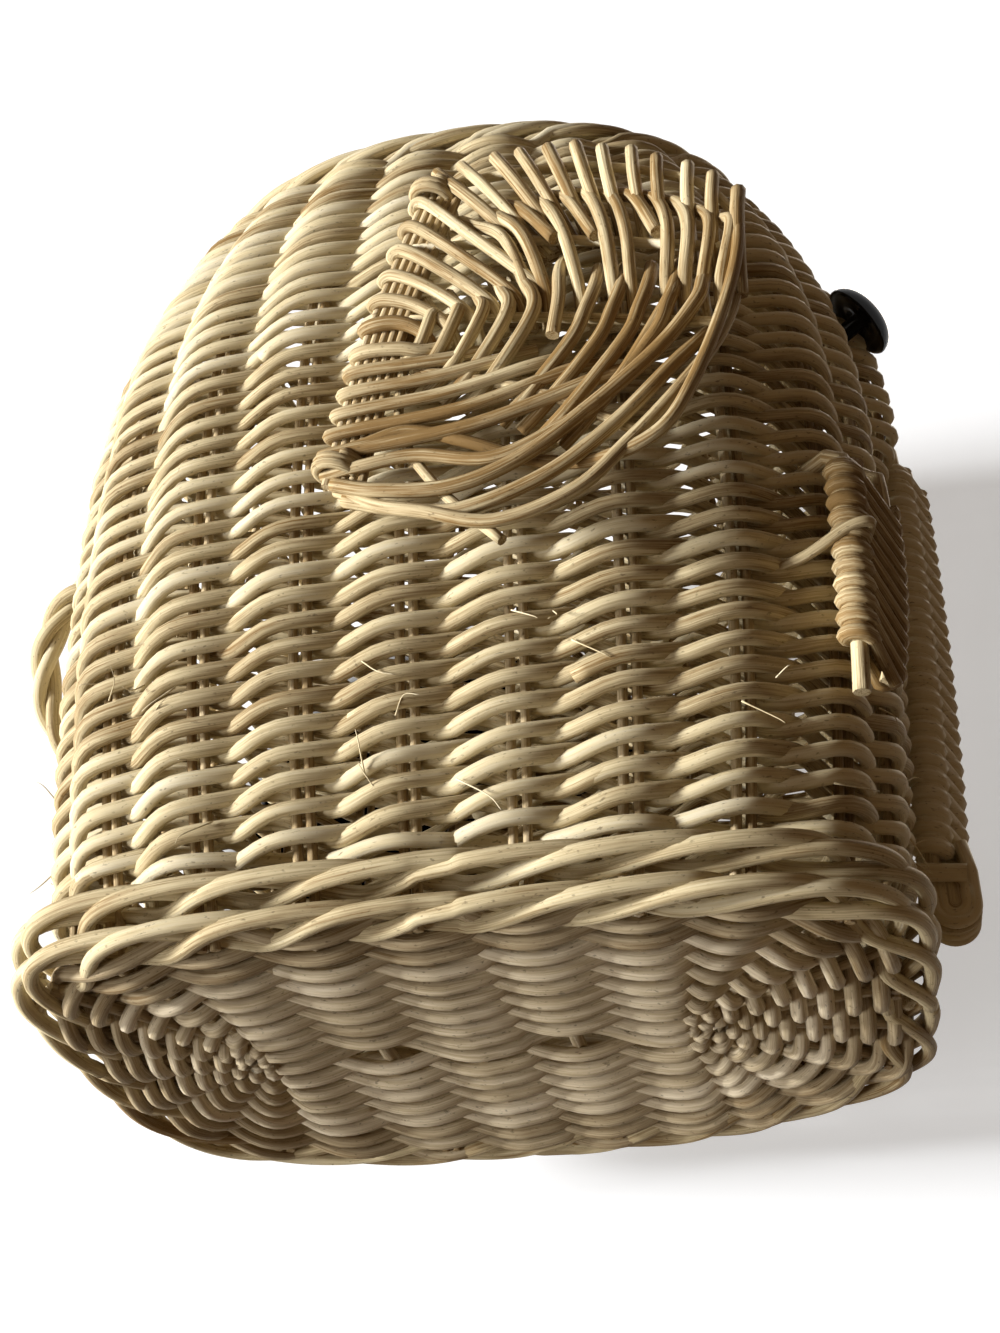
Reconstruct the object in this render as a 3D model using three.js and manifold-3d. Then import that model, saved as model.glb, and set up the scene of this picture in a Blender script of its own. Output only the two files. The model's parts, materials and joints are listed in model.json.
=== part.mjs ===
// Elephant-shaped cane basket: an open oval pot with ears, eyes, tusks, trunk and a tail loop.
// Millimetres, +Z up, origin at the middle of the base's underside, +X towards the trunk, -Y the right flank.
import * as THREE from 'three';
import { mergeVertices } from 'three/addons/utils/BufferGeometryUtils.js';
import Module from 'manifold-3d';

const wasm = await Module();
wasm.setup();

// Driving sizes of the pot, measured on the outside of the wall
const BASE_HALF_LENGTH = 99;
const BASE_HALF_WIDTH = 71.5;
const BELLY_HALF_LENGTH = 108;
const BELLY_HALF_WIDTH = 89;
const BELLY_HEIGHT = 151;
const RIM_HALF_LENGTH = 82;
const RIM_HALF_WIDTH = 68.5;
const RIM_HEIGHT = 251;
const BASE_SQUARENESS = 4.45;
const RIM_SQUARENESS = 2.3;
const WALL_THICKNESS = 8;
const WALL_ROW_PITCH = 3.28;
const WALL_RELIEF = 1.8;
const CLEARANCE = 0.3;

// Stakes, base, foot wale and border
const STAKE_PAIRS = 25;
const STAKE_ROD = 2.8;
const STAKE_FOOT = 1;
const BASE_THICKNESS = 7;
const BASE_RIBS = 3;
const BASE_RIB_FIRST_BAY = 5.5;
const BASE_RIB_RADIUS = 2;
const BASE_RIB_DEPTH = 1;
const BASE_RIB_END_MARGIN = 2;
const WALE_ROW_HEIGHT = 8.5;
const WALE_OUTSET = 6.5;
const BORDER_RADIUS = 5.5;

// Ears
const EAR_LOW_HEIGHT = 108;
const EAR_HIGH_DROP = 57;
const EAR_LOW_BAY = 7;
const EAR_HIGH_BAY = 6.2;
const EAR_STANDOFF = 7.5;
const EAR_REST_ANGLE = THREE.MathUtils.degToRad(8);
const EAR_THICKNESS = 7;
const EAR_EDGE_OVERHANG = 4;
const EDGE_ROD_RADIUS = 3;
const LASHING_RADIUS = 1.6;
const LASHING_KNOT_RADIUS = 3.4;
const LASHING_NOTCH_MARGIN = 1.4;
// From the hinge's top end round to its low end: up and forward, as shares of the hinge's length
const EAR_OUTLINE = [[1.08, 0.12], [1.15, 0.37], [1.1, 0.62], [1, 0.86], [0.88, 0.94], [0.6, 0.99],
  [0.27, 0.98], [0.1, 0.89], [-0.1, 0.7], [-0.18, 0.48], [-0.17, 0.25], [-0.06, 0.08]];

// Eyes
const EYE_BAY = 1;
const EYE_HEIGHT = 192;
const EYE_RADIUS = 11;
const EYE_DOME = 6;
const EYE_STAND_OUT = 6.2;
const EYE_TILT = THREE.MathUtils.degToRad(24);
const EYE_STEM_RADIUS = 2.5;
const EYE_WASHER_RADIUS = 6;
const EYE_WASHER_THICKNESS = 2;
const EYE_WASHER_SEAT = 6;

// Tusks
const TUSK_TOP_HEIGHT = 112;
const TUSK_TIP_HEIGHT = 46.5;
const TUSK_OUTER_BAY = 2.8;
const TUSK_INNER_BAY = 2.3;
const TUSK_TIP_BAY = 2.8;
const TUSK_TIP_SPREAD = 0.2;
const TUSK_OUTSET = 8;
const TUSK_ROD_RADIUS = 2;
const TUSK_LOOP_PITCH = 4.2;
const TUSK_CANE_RADIUS = 1.5;
const TUSK_WIND_DROP = 6;
const TUSK_TIP_BARE = 12.5;
const TUSK_TIE_DROP = 26;

// Trunk
const TRUNK_TOP_HEIGHT = 168;
const TRUNK_ROD_OFFSET = 5.5;
const TRUNK_ROD_RADIUS = 2.25;
const TRUNK_OUTSET = 6.8;
const TRUNK_LOOPS = 24;
const TRUNK_CANE_RADIUS = 1.7;
const TRUNK_WIND_DROP = 10;
const TRUNK_ROLL_RADIUS = 6.5;
const TRUNK_ROLL_RISE = 2.5;
const TRUNK_ROLL_OUTSET = 9.6;
const TRUNK_ROLL_LENGTH = 14;
const TRUNK_ROLL_EASE = 2;
const TRUNK_STRIP_HEIGHT = 5;
const TRUNK_STRIP_THICKNESS = 2;
const TRUNK_STRIP_LENGTH = 16;

// Tail loop
const TAIL_RADIUS = 3.5;
const TAIL_TOP_HEIGHT = 146;
const TAIL_LOW_HEIGHT = 96;
const TAIL_REACH = 27;
const TAIL_BAY = 12;

// How finely shapes are cut
const WALK_STEPS = 1440;
const STATIONS_PER_BAY = 2;
const WALL_LEVELS = 6;
const WIND_ROUND_STEPS = 4;
const WIND_SIDES = 5;
const WIND_CLEARANCE = 0.6;
const ROD_SIDES = 8;
const ROUND_SIDES = 16;
const EAR_CURVE_STEPS = 2;
const EYE_DOME_STEPS = 5;
const TAIL_STEPS = 12;
const TUSK_STEPS = 5;
const TRUNK_STEPS = 7;
const MIN_WIND_GAP = 0.4;
const PROBE = 1;
const CUT_MARGIN = 1;

// Places worked out from the sizes above
const WALL_BOTTOM = 2 * WALE_ROW_HEIGHT + 3 * CLEARANCE;
const BORDER_HEIGHT = RIM_HEIGHT - BORDER_RADIUS;
const WALL_TOP = RIM_HEIGHT - 2 * BORDER_RADIUS - CLEARANCE;
const STAKE_OUTSET = -WALL_THICKNESS / 2;
const EAR_HIGH_HEIGHT = RIM_HEIGHT - EAR_HIGH_DROP;
const TUSK_WIND_TOP = TUSK_TOP_HEIGHT - TUSK_WIND_DROP;
const TUSK_WIND_BOTTOM = TUSK_TIP_HEIGHT + TUSK_TIP_BARE;
const TUSK_LOOPS = Math.floor((TUSK_WIND_TOP - TUSK_WIND_BOTTOM) / TUSK_LOOP_PITCH);
const TUSK_TIE_HEIGHT = TUSK_TOP_HEIGHT - TUSK_TIE_DROP;
const TRUNK_WIND_TOP = TRUNK_TOP_HEIGHT - TRUNK_WIND_DROP;
const WALE_INSET = STAKE_OUTSET + STAKE_ROD / 2 + CLEARANCE;
const BASE_INSET = STAKE_OUTSET - STAKE_ROD / 2 - CLEARANCE;
const UP = new THREE.Vector3(0, 0, 1);

// Half length, half width and squareness of the pot's oval at a height
function wallOval(height) {
  const share = THREE.MathUtils.clamp(height / RIM_HEIGHT, 0, 1);
  const rise = 1 - (1 - Math.min(height / BELLY_HEIGHT, 1)) ** 2;
  const fall = THREE.MathUtils.clamp((height - BELLY_HEIGHT) / (RIM_HEIGHT - BELLY_HEIGHT), 0, 1) ** 2;
  const between = (low, belly, rim) => low + (belly - low) * rise - (belly - rim) * fall;
  return {
    length: between(BASE_HALF_LENGTH, BELLY_HALF_LENGTH, RIM_HALF_LENGTH),
    width: between(BASE_HALF_WIDTH, BELLY_HALF_WIDTH, RIM_HALF_WIDTH),
    power: BASE_SQUARENESS + (RIM_SQUARENESS - BASE_SQUARENESS) * share,
  };
}

function wallPoint(angle, height, outset) {
  const oval = wallOval(height);
  const along = Math.cos(angle);
  const across = Math.sin(angle);
  return new THREE.Vector3(
    (oval.length + outset) * Math.sign(along) * Math.abs(along) ** (2 / oval.power),
    (oval.width + outset) * Math.sign(across) * Math.abs(across) ** (2 / oval.power),
    height,
  );
}

// Distances walked round the stakes' oval at a height, kept for each height
const walks = new Map();

function walkRound(height) {
  if (!walks.has(height)) {
    const walk = [0];
    for (let step = 1; step <= WALK_STEPS; step += 1) {
      const before = wallPoint((2 * Math.PI * (step - 1)) / WALK_STEPS, height, STAKE_OUTSET);
      const after = wallPoint((2 * Math.PI * step) / WALK_STEPS, height, STAKE_OUTSET);
      walk.push(walk[step - 1] + before.distanceTo(after));
    }
    walks.set(height, walk);
  }
  return walks.get(height);
}

const bayWidth = (height) => walkRound(height)[WALK_STEPS] / STAKE_PAIRS;

// Bays are equally wide at each height and count from the face's middle towards the right flank (-Y).
// A bay may be a fraction: stakes stand half-way between bays.
function bayAngle(bay, height) {
  const walk = walkRound(height);
  const turns = (((-bay / STAKE_PAIRS) % 1) + 1) % 1;
  const walked = turns * walk[WALK_STEPS];
  let low = 0;
  let high = WALK_STEPS;
  while (high - low > 1) {
    const middle = (low + high) >> 1;
    if (walk[middle] <= walked) low = middle;
    else high = middle;
  }
  const part = (walked - walk[low]) / (walk[high] - walk[low]);
  return (2 * Math.PI * (low + part)) / WALK_STEPS;
}

const bayPoint = (bay, height, outset) => wallPoint(bayAngle(bay, height), height, outset);

// Unit directions at a place on the wall: level along it, up it, and straight out of it
function wallFrame(bay, height) {
  const step = 0.02;
  const along = bayPoint(bay + step, height, 0).sub(bayPoint(bay - step, height, 0)).normalize();
  const upward = bayPoint(bay, height + PROBE, 0).sub(bayPoint(bay, height - PROBE, 0)).normalize();
  const out = upward.clone().cross(along).normalize();
  const levelOut = UP.clone().cross(along).normalize();
  return { along, upward, out, levelOut };
}

// Closed meshes
function geometryFrom(points, triangles) {
  const geometry = new THREE.BufferGeometry();
  const places = points.flatMap((point) => point.toArray());
  geometry.setAttribute('position', new THREE.Float32BufferAttribute(places, 3));
  geometry.setIndex(triangles);
  return outward(geometry);
}

// Turns the faces outward where a shape came out mirrored
function outward(geometry) {
  const at = geometry.getAttribute('position');
  const index = geometry.getIndex().array;
  const corner = (k) => new THREE.Vector3().fromBufferAttribute(at, index[k]);
  let volume = 0;
  for (let k = 0; k < index.length; k += 3) {
    volume += corner(k).dot(corner(k + 1).cross(corner(k + 2)));
  }
  if (volume < 0) {
    for (let k = 0; k < index.length; k += 3) {
      [index[k], index[k + 1]] = [index[k + 1], index[k]];
    }
  }
  return geometry;
}

function plain(geometry) {
  const bare = geometry.clone();
  bare.deleteAttribute('normal');
  bare.deleteAttribute('uv');
  return outward(mergeVertices(bare, 1e-5));
}

// Rows of points joined into a skin; each row closes on itself, and the rows close on each other
// or are capped
function skin(rows, closed) {
  const count = rows[0].length;
  const points = rows.flat();
  const triangles = [];
  const last = closed ? rows.length : rows.length - 1;
  for (let row = 0; row < last; row += 1) {
    for (let k = 0; k < count; k += 1) {
      const a = row * count + k;
      const b = row * count + ((k + 1) % count);
      const c = ((row + 1) % rows.length) * count + k;
      const d = ((row + 1) % rows.length) * count + ((k + 1) % count);
      triangles.push(a, b, d, a, d, c);
    }
  }
  if (!closed) {
    const end = (rows.length - 1) * count;
    for (let k = 1; k < count - 1; k += 1) {
      triangles.push(0, k + 1, k, end, end + k, end + k + 1);
    }
  }
  return geometryFrom(points, triangles);
}

// A round rod along a list of points, with flat ends
function rod(path, radius, sides) {
  const rows = [];
  const ahead = path.map((p, k) => path[Math.min(k + 1, path.length - 1)].clone()
    .sub(path[Math.max(k - 1, 0)]).normalize());
  const start = Math.abs(ahead[0].z) < 0.9 ? UP : new THREE.Vector3(1, 0, 0);
  let side = start.clone().cross(ahead[0]).normalize();
  path.forEach((point, k) => {
    side = side.clone().addScaledVector(ahead[k], -side.dot(ahead[k])).normalize();
    const other = ahead[k].clone().cross(side);
    const row = [];
    for (let turn = 0; turn < sides; turn += 1) {
      const angle = (2 * Math.PI * turn) / sides;
      row.push(point.clone().addScaledVector(side, radius * Math.cos(angle))
        .addScaledVector(other, radius * Math.sin(angle)));
    }
    rows.push(row);
  });
  return skin(rows, false);
}

// Joins and cuts
function solid(geometry) {
  const clean = plain(geometry);
  return new wasm.Manifold(new wasm.Mesh({
    numProp: 3,
    vertProperties: new Float32Array(clean.getAttribute('position').array),
    triVerts: new Uint32Array(clean.getIndex().array),
  }));
}

function shape(manifold) {
  const mesh = manifold.getMesh();
  const geometry = new THREE.BufferGeometry();
  geometry.setAttribute('position', new THREE.Float32BufferAttribute(mesh.vertProperties, 3));
  geometry.setIndex(Array.from(mesh.triVerts));
  return geometry;
}

const cut = (body, tools) => shape(solid(body).subtract(wasm.Manifold.union(tools.map(solid))));
const join = (pieces) => shape(wasm.Manifold.union(pieces.map(solid)));

// Colours and finish
const CANE = { color: 0xcdbb8c, roughness: 0.6 };
const CANE_SHADE = { color: 0xb39c68, roughness: 0.65 };
const CANE_BASE = { color: 0xa8946a, roughness: 0.75 };
const EYE_BLACK = { color: 0x0b0b0c, roughness: 0.15 };
const group = new THREE.Group();

function add(name, geometry, finish, parent = group) {
  const flat = plain(geometry).toNonIndexed();
  flat.computeVertexNormals();
  const material = new THREE.MeshStandardMaterial({ ...finish, metalness: 0 });
  const mesh = new THREE.Mesh(flat, material);
  mesh.name = name;
  parent.add(mesh);
  return mesh;
}

// Bays at which rings round the pot are cut
const stations = [];
for (let k = 0; k < STAKE_PAIRS * STATIONS_PER_BAY; k += 1) {
  stations.push(k / STATIONS_PER_BAY);
}

function levels(low, high, count) {
  return Array.from({ length: count + 1 }, (_, k) => low + ((high - low) * k) / count);
}

const wallLevels = levels(WALL_BOTTOM, WALL_TOP, WALL_LEVELS);

// Base: an oval mat with its ribs let into the upper side
function baseRibPath(index) {
  const along = bayPoint(BASE_RIB_FIRST_BAY + index, 0, STAKE_OUTSET).x;
  const half = BASE_HALF_WIDTH + BASE_INSET - BASE_RIB_END_MARGIN;
  const height = BASE_THICKNESS - BASE_RIB_DEPTH;
  return [new THREE.Vector3(along, -half, height), new THREE.Vector3(along, half, height)];
}

function baseWeave() {
  const edge = (height) => stations.map((bay) => bayPoint(bay, 0, BASE_INSET).setZ(height));
  const mat = skin([edge(0), edge(BASE_THICKNESS)], false);
  const channels = [];
  for (let k = 0; k < BASE_RIBS; k += 1) {
    const [from, to] = baseRibPath(k);
    const reach = to.clone().sub(from).normalize().multiplyScalar(CLEARANCE);
    channels.push(rod([from.sub(reach), to.add(reach)], BASE_RIB_RADIUS + CLEARANCE, ROD_SIDES));
  }
  return cut(mat, channels);
}

// A ring round the pot with an eight-sided section between two outsets and two heights
function wale(low) {
  const high = low + WALE_ROW_HEIGHT;
  const bevel = WALE_ROW_HEIGHT / 4;
  const section = [
    [WALE_INSET, low + bevel], [WALE_INSET, high - bevel],
    [WALE_INSET + bevel, high], [WALE_OUTSET - bevel, high],
    [WALE_OUTSET, high - bevel], [WALE_OUTSET, low + bevel],
    [WALE_OUTSET - bevel, low], [WALE_INSET + bevel, low],
  ];
  return skin(stations.map((bay) => section.map(([outset, height]) => bayPoint(bay, height, outset))), true);
}

function border() {
  const rows = stations.map((bay) => Array.from({ length: ROD_SIDES }, (_, k) => {
    const angle = (2 * Math.PI * (k + 0.5)) / ROD_SIDES;
    const radius = BORDER_RADIUS / Math.cos(Math.PI / ROD_SIDES);
    return bayPoint(bay, BORDER_HEIGHT, STAKE_OUTSET + radius * Math.cos(angle))
      .setZ(BORDER_HEIGHT + radius * Math.sin(angle));
  }));
  return skin(rows, true);
}

// A pair of stakes side by side, as one bar with rounded edges, following the wall's middle
function stakePair(bay, heights, ease) {
  const half = STAKE_ROD + ease;
  const deep = STAKE_ROD / 2 + ease;
  const section = [[-half, 0], [-half + deep, deep], [half - deep, deep], [half, 0], [half - deep, -deep],
    [-half + deep, -deep]];
  return skin(heights.map((height) => {
    const { along, levelOut } = wallFrame(bay, Math.max(height, PROBE));
    return section.map(([side, out]) => bayPoint(bay, height, STAKE_OUTSET)
      .addScaledVector(along, side).addScaledVector(levelOut, out));
  }), false);
}

const stakeBay = (index) => index + 0.5;

// Ears: the hinge line runs through the two lashings, one bay apart
function earHinge(side) {
  const across = BELLY_HALF_WIDTH + EAR_STANDOFF;
  const low = bayPoint(EAR_LOW_BAY, EAR_LOW_HEIGHT, 0).setY(-across);
  const high = bayPoint(EAR_HIGH_BAY, EAR_HIGH_HEIGHT, 0).setY(-across);
  low.y *= side;
  high.y *= side;
  const axis = high.clone().sub(low).normalize();
  const flat = new THREE.Vector3(axis.z, 0, -axis.x);
  const forward = flat.multiplyScalar(Math.cos(EAR_REST_ANGLE));
  forward.y = -side * Math.sin(EAR_REST_ANGLE);
  return { low, high, axis, forward, span: high.distanceTo(low) };
}

// Ear places: up along the hinge, forward from it, and out of the mat
function earPlacement(side) {
  const { low, axis, forward } = earHinge(side);
  const out = axis.clone().cross(forward);
  return new THREE.Matrix4().makeBasis(axis, forward, out).setPosition(low);
}

function earOutline(span) {
  const outline = new THREE.Shape();
  const root = EDGE_ROD_RADIUS + CLEARANCE;
  outline.moveTo(span + EAR_EDGE_OVERHANG - root, root);
  outline.splineThru(EAR_OUTLINE.map(([up, forward]) => new THREE.Vector2(up * span, forward * span)));
  outline.lineTo(-EAR_EDGE_OVERHANG + root, root);
  return outline;
}

const LASHING_RING = EDGE_ROD_RADIUS + 2 * CLEARANCE + LASHING_RADIUS;
const LASHING_REACH = LASHING_RING + LASHING_RADIUS;

function earWeave(span) {
  const mat = new THREE.ExtrudeGeometry(earOutline(span), {
    depth: EAR_THICKNESS, bevelEnabled: false, curveSegments: EAR_CURVE_STEPS,
  });
  mat.translate(0, 0, -EAR_THICKNESS / 2);
  const notch = 2 * (LASHING_RADIUS + LASHING_NOTCH_MARGIN);
  const deep = 2 * (LASHING_REACH + LASHING_NOTCH_MARGIN);
  const through = 4 * EAR_THICKNESS;
  const notches = [0, span].map((place) => (
    new THREE.BoxGeometry(notch, deep, through).translate(place, 0, 0)));
  return cut(mat, notches);
}

function edgeRod(span) {
  const ends = [-EAR_EDGE_OVERHANG, span + EAR_EDGE_OVERHANG];
  return rod(ends.map((place) => new THREE.Vector3(place, 0, 0)), EDGE_ROD_RADIUS, ROD_SIDES);
}

// A lashing: a ring round the edge rod, its shank through the wall and its knot inside
function lashingShank(side, place, bay, height, ease) {
  const inner = bayPoint(bay, height, -WALL_THICKNESS);
  const from = place.clone();
  from.y += side * LASHING_RING;
  const to = place.clone().setY(side * (inner.y + LASHING_KNOT_RADIUS + 2 * CLEARANCE));
  return { from, to, geometry: rod([from, to], LASHING_RADIUS + ease, ROD_SIDES) };
}

function lashing(side, place, axis, bay, height) {
  const ring = new THREE.TorusGeometry(LASHING_RING, LASHING_RADIUS, WIND_SIDES, ROUND_SIDES);
  ring.applyQuaternion(new THREE.Quaternion().setFromUnitVectors(UP, axis)).translate(...place.toArray());
  const shank = lashingShank(side, place, bay, height, 0);
  const knot = new THREE.SphereGeometry(LASHING_KNOT_RADIUS, ROD_SIDES, WIND_SIDES);
  knot.translate(...shank.to.toArray());
  return join([ring, shank.geometry, knot]);
}

// Eyes: domed cap tilted up from the wall, stem through the wall and a washer on the stem inside
function eyePlacement(side) {
  const bay = side * EYE_BAY;
  const { along, out } = wallFrame(bay, EYE_HEIGHT);
  const facing = out.clone().applyAxisAngle(along, EYE_TILT);
  const turn = new THREE.Quaternion().setFromUnitVectors(new THREE.Vector3(0, 1, 0), facing);
  return new THREE.Matrix4().makeRotationFromQuaternion(turn).setPosition(bayPoint(bay, EYE_HEIGHT, 0));
}

const EYE_STEM_END = -(WALL_THICKNESS + EYE_WASHER_SEAT + 2 * EYE_WASHER_THICKNESS);

function eyeButton() {
  const profile = [new THREE.Vector2(0, EYE_STEM_END), new THREE.Vector2(EYE_STEM_RADIUS, EYE_STEM_END),
    new THREE.Vector2(EYE_STEM_RADIUS, EYE_STAND_OUT), new THREE.Vector2(EYE_RADIUS, EYE_STAND_OUT)];
  for (let k = 1; k <= EYE_DOME_STEPS; k += 1) {
    const angle = (Math.PI / 2) * (k / EYE_DOME_STEPS);
    profile.push(new THREE.Vector2(EYE_RADIUS * Math.cos(angle), EYE_STAND_OUT + EYE_DOME * Math.sin(angle)));
  }
  profile[profile.length - 1].x = 0;
  return new THREE.LatheGeometry(profile, ROUND_SIDES);
}

function eyeWasher() {
  const high = -(WALL_THICKNESS + EYE_WASHER_SEAT);
  const low = high - EYE_WASHER_THICKNESS;
  const bore = EYE_STEM_RADIUS + CLEARANCE;
  const edge = EYE_WASHER_RADIUS;
  const profile = [[bore, low], [edge, low], [edge, high], [bore, high], [bore, low]];
  return new THREE.LatheGeometry(profile.map(([x, y]) => new THREE.Vector2(x, y)), ROUND_SIDES);
}

function eyeHole(side) {
  const radius = EYE_STEM_RADIUS + CLEARANCE;
  const hole = new THREE.CylinderGeometry(radius, radius, -2 * EYE_STEM_END, ROUND_SIDES);
  return hole.applyMatrix4(eyePlacement(side));
}

// Tusks: two rods that leave the wall half a bay apart and run down to one tip, wound with a cane
function tuskRodPath(side, topBay, tipBay) {
  const bayAt = (height) => side * (topBay + ((tipBay - topBay) * (TUSK_TOP_HEIGHT - height))
    / (TUSK_TOP_HEIGHT - TUSK_TIP_HEIGHT));
  const bend = TUSK_OUTSET / 2;
  const outsets = [-WALL_THICKNESS - bend, 0, bend];
  const entry = outsets.map((outset) => bayPoint(side * topBay, TUSK_TOP_HEIGHT, outset));
  const drop = levels(TUSK_TOP_HEIGHT - bend, TUSK_TIP_HEIGHT, TUSK_STEPS)
    .map((height) => bayPoint(bayAt(height), height, TUSK_OUTSET));
  return [...entry, ...drop];
}

const tuskOuterPath = (side) => tuskRodPath(side, TUSK_OUTER_BAY, TUSK_TIP_BAY);
const tuskInnerPath = (side) => tuskRodPath(side, TUSK_INNER_BAY, TUSK_TIP_BAY - TUSK_TIP_SPREAD);

// The hole for a rod that goes straight into the wall; the first points of its path lie on that line
function entryHole(path, radius) {
  const reach = path[1].clone().sub(path[0]).normalize().multiplyScalar(WALL_THICKNESS / 2);
  return rod([path[0].clone().sub(reach), path[2].clone().add(reach)], radius + CLEARANCE, ROD_SIDES);
}

// Where a rod's path crosses a height
function crossing(path, height) {
  const k = path.findIndex((p, i) => i > 2 && p.z <= height);
  const part = (path[k - 1].z - height) / (path[k - 1].z - path[k].z);
  return path[k - 1].clone().lerp(path[k], part);
}

// One unbroken cane wound round two rods, from a top height to a bottom height
function winding(first, second, radius, top, bottom, loops, rodRadius) {
  const away = rodRadius + WIND_CLEARANCE + radius;
  const stepsPerLoop = 2 * (WIND_ROUND_STEPS + 1);
  const path = [];
  for (let step = 0; step <= loops * stepsPerLoop; step += 1) {
    const height = top + ((bottom - top) * step) / (loops * stepsPerLoop);
    const a = crossing(first, height);
    const b = crossing(second, height);
    const across = b.clone().sub(a).setZ(0).normalize();
    const out = UP.clone().cross(across);
    const place = step % stepsPerLoop;
    const near = place <= WIND_ROUND_STEPS;
    const round = near ? place : place - WIND_ROUND_STEPS - 1;
    const angle = (Math.PI * round) / WIND_ROUND_STEPS - Math.PI / 2;
    const turn = near ? 1 : -1;
    path.push((near ? b : a).clone().setZ(height)
      .addScaledVector(across, turn * away * Math.cos(angle))
      .addScaledVector(out, turn * away * Math.sin(angle)));
  }
  return path;
}

// Least gap between a winding's loops, measured on points along its middle
function leastGap(path, radius, stepsPerLoop) {
  let least = Infinity;
  path.forEach((point, k) => {
    for (let other = k + Math.ceil(stepsPerLoop / 2) + 1; other < path.length; other += 1) {
      least = Math.min(least, point.distanceTo(path[other]) - 2 * radius);
    }
  });
  return least;
}

function wound(name, path, radius) {
  const gap = leastGap(path, radius, 2 * (WIND_ROUND_STEPS + 1));
  console.log(`${name}: least gap between loops ${gap.toFixed(2)} mm`);
  if (gap < MIN_WIND_GAP) console.log(`${name}: loops lie too close`);
  return rod(path, radius, WIND_SIDES);
}

// A short strand from beside the tusk's winding into the wall
function tuskTiePath(side) {
  const beside = TUSK_ROD_RADIUS + WIND_CLEARANCE + 3 * TUSK_CANE_RADIUS + CLEARANCE;
  const bay = side * (TUSK_OUTER_BAY + beside / bayWidth(TUSK_TIE_HEIGHT));
  const near = bayPoint(bay, TUSK_TIE_HEIGHT, 0);
  const { levelOut } = wallFrame(bay, TUSK_TIE_HEIGHT);
  return [-WALL_THICKNESS, 0, TUSK_OUTSET].map((outset) => near.clone().addScaledVector(levelOut, outset));
}

// Trunk
const TRUNK_ROLL_HEIGHT = WALL_BOTTOM + TRUNK_ROLL_RISE + TRUNK_ROLL_RADIUS;
const TRUNK_ROLL_TOP = TRUNK_ROLL_HEIGHT + TRUNK_ROLL_RADIUS;
const trunkRollX = () => wallOval(TRUNK_ROLL_TOP).length + TRUNK_ROLL_OUTSET;
const TRUNK_ROD_END = TRUNK_ROLL_TOP + CLEARANCE;
const TRUNK_STRIP_MIDDLE = TRUNK_ROD_END + CLEARANCE;
const TRUNK_WIND_BOTTOM = TRUNK_ROD_END + TRUNK_STRIP_HEIGHT + 2 * TRUNK_CANE_RADIUS;

function trunkRodPath(side) {
  const across = -side * TRUNK_ROD_OFFSET;
  const place = (height, outset) => new THREE.Vector3(wallOval(height).length + outset, across, height);
  const bend = TRUNK_OUTSET / 2;
  const entry = [-WALL_THICKNESS - bend, 0, bend].map((outset) => place(TRUNK_TOP_HEIGHT, outset));
  const drop = levels(TRUNK_TOP_HEIGHT - bend, TRUNK_ROD_END, TRUNK_STEPS)
    .map((height) => place(height, TRUNK_OUTSET));
  return [...entry, ...drop];
}

// A flat strip past the right rod's foot, from the wall to the trunk's front
function trunkStrip() {
  const strip = new THREE.BoxGeometry(TRUNK_STRIP_LENGTH, TRUNK_STRIP_THICKNESS, TRUNK_STRIP_HEIGHT);
  const wall = wallOval(TRUNK_STRIP_MIDDLE + TRUNK_STRIP_HEIGHT / 2).length + CLEARANCE;
  const across = TRUNK_ROD_OFFSET + TRUNK_ROD_RADIUS + CLEARANCE + TRUNK_STRIP_THICKNESS / 2;
  return strip.translate(wall + TRUNK_STRIP_LENGTH / 2, -across, TRUNK_STRIP_MIDDLE);
}

function trunkRoll() {
  const half = TRUNK_ROLL_LENGTH / 2;
  const small = TRUNK_ROLL_RADIUS - TRUNK_ROLL_EASE;
  const profile = [[0, -half], [small, -half], [TRUNK_ROLL_RADIUS, -half + TRUNK_ROLL_EASE],
    [TRUNK_ROLL_RADIUS, half - TRUNK_ROLL_EASE], [small, half], [0, half]];
  const roll = new THREE.LatheGeometry(profile.map(([x, y]) => new THREE.Vector2(x, y)), ROUND_SIDES);
  return roll.translate(trunkRollX(), 0, TRUNK_ROLL_HEIGHT);
}

// Tail: a loop that goes in at one side of the back's middle stake and out at the other
function tailPath() {
  const end = (bay, height) => [-WALL_THICKNESS - TAIL_RADIUS, 0, TAIL_RADIUS].map((outset) => {
    const at = bayPoint(bay, height, 0);
    at.x -= outset;
    return at;
  });
  const top = end(TAIL_BAY, TAIL_TOP_HEIGHT);
  const low = end(-TAIL_BAY, TAIL_LOW_HEIGHT).reverse();
  const from = top[2];
  const to = low[0];
  const bow = [];
  for (let k = 1; k < TAIL_STEPS; k += 1) {
    const angle = Math.PI * (k / TAIL_STEPS);
    const point = from.clone().lerp(to, (1 - Math.cos(angle)) / 2);
    point.x -= (TAIL_REACH - 2 * TAIL_RADIUS) * Math.sin(angle);
    bow.push(point);
  }
  return [...top, ...bow, ...low];
}

function tailHoles() {
  const path = tailPath();
  const ends = [path.slice(0, 3), path.slice(-3).reverse()];
  return ends.map((end) => entryHole(end, TAIL_RADIUS + CLEARANCE));
}

// Assembly: base and foot
add('base_weave', baseWeave(), CANE_BASE);
for (let k = 0; k < BASE_RIBS; k += 1) {
  add(`base_rib_${k + 1}`, rod(baseRibPath(k), BASE_RIB_RADIUS, ROD_SIDES), CANE_BASE);
}
add('foot_wale_lower', wale(CLEARANCE), CANE_SHADE);
add('foot_wale_upper', wale(WALE_ROW_HEIGHT + 2 * CLEARANCE), CANE_SHADE);

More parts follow.
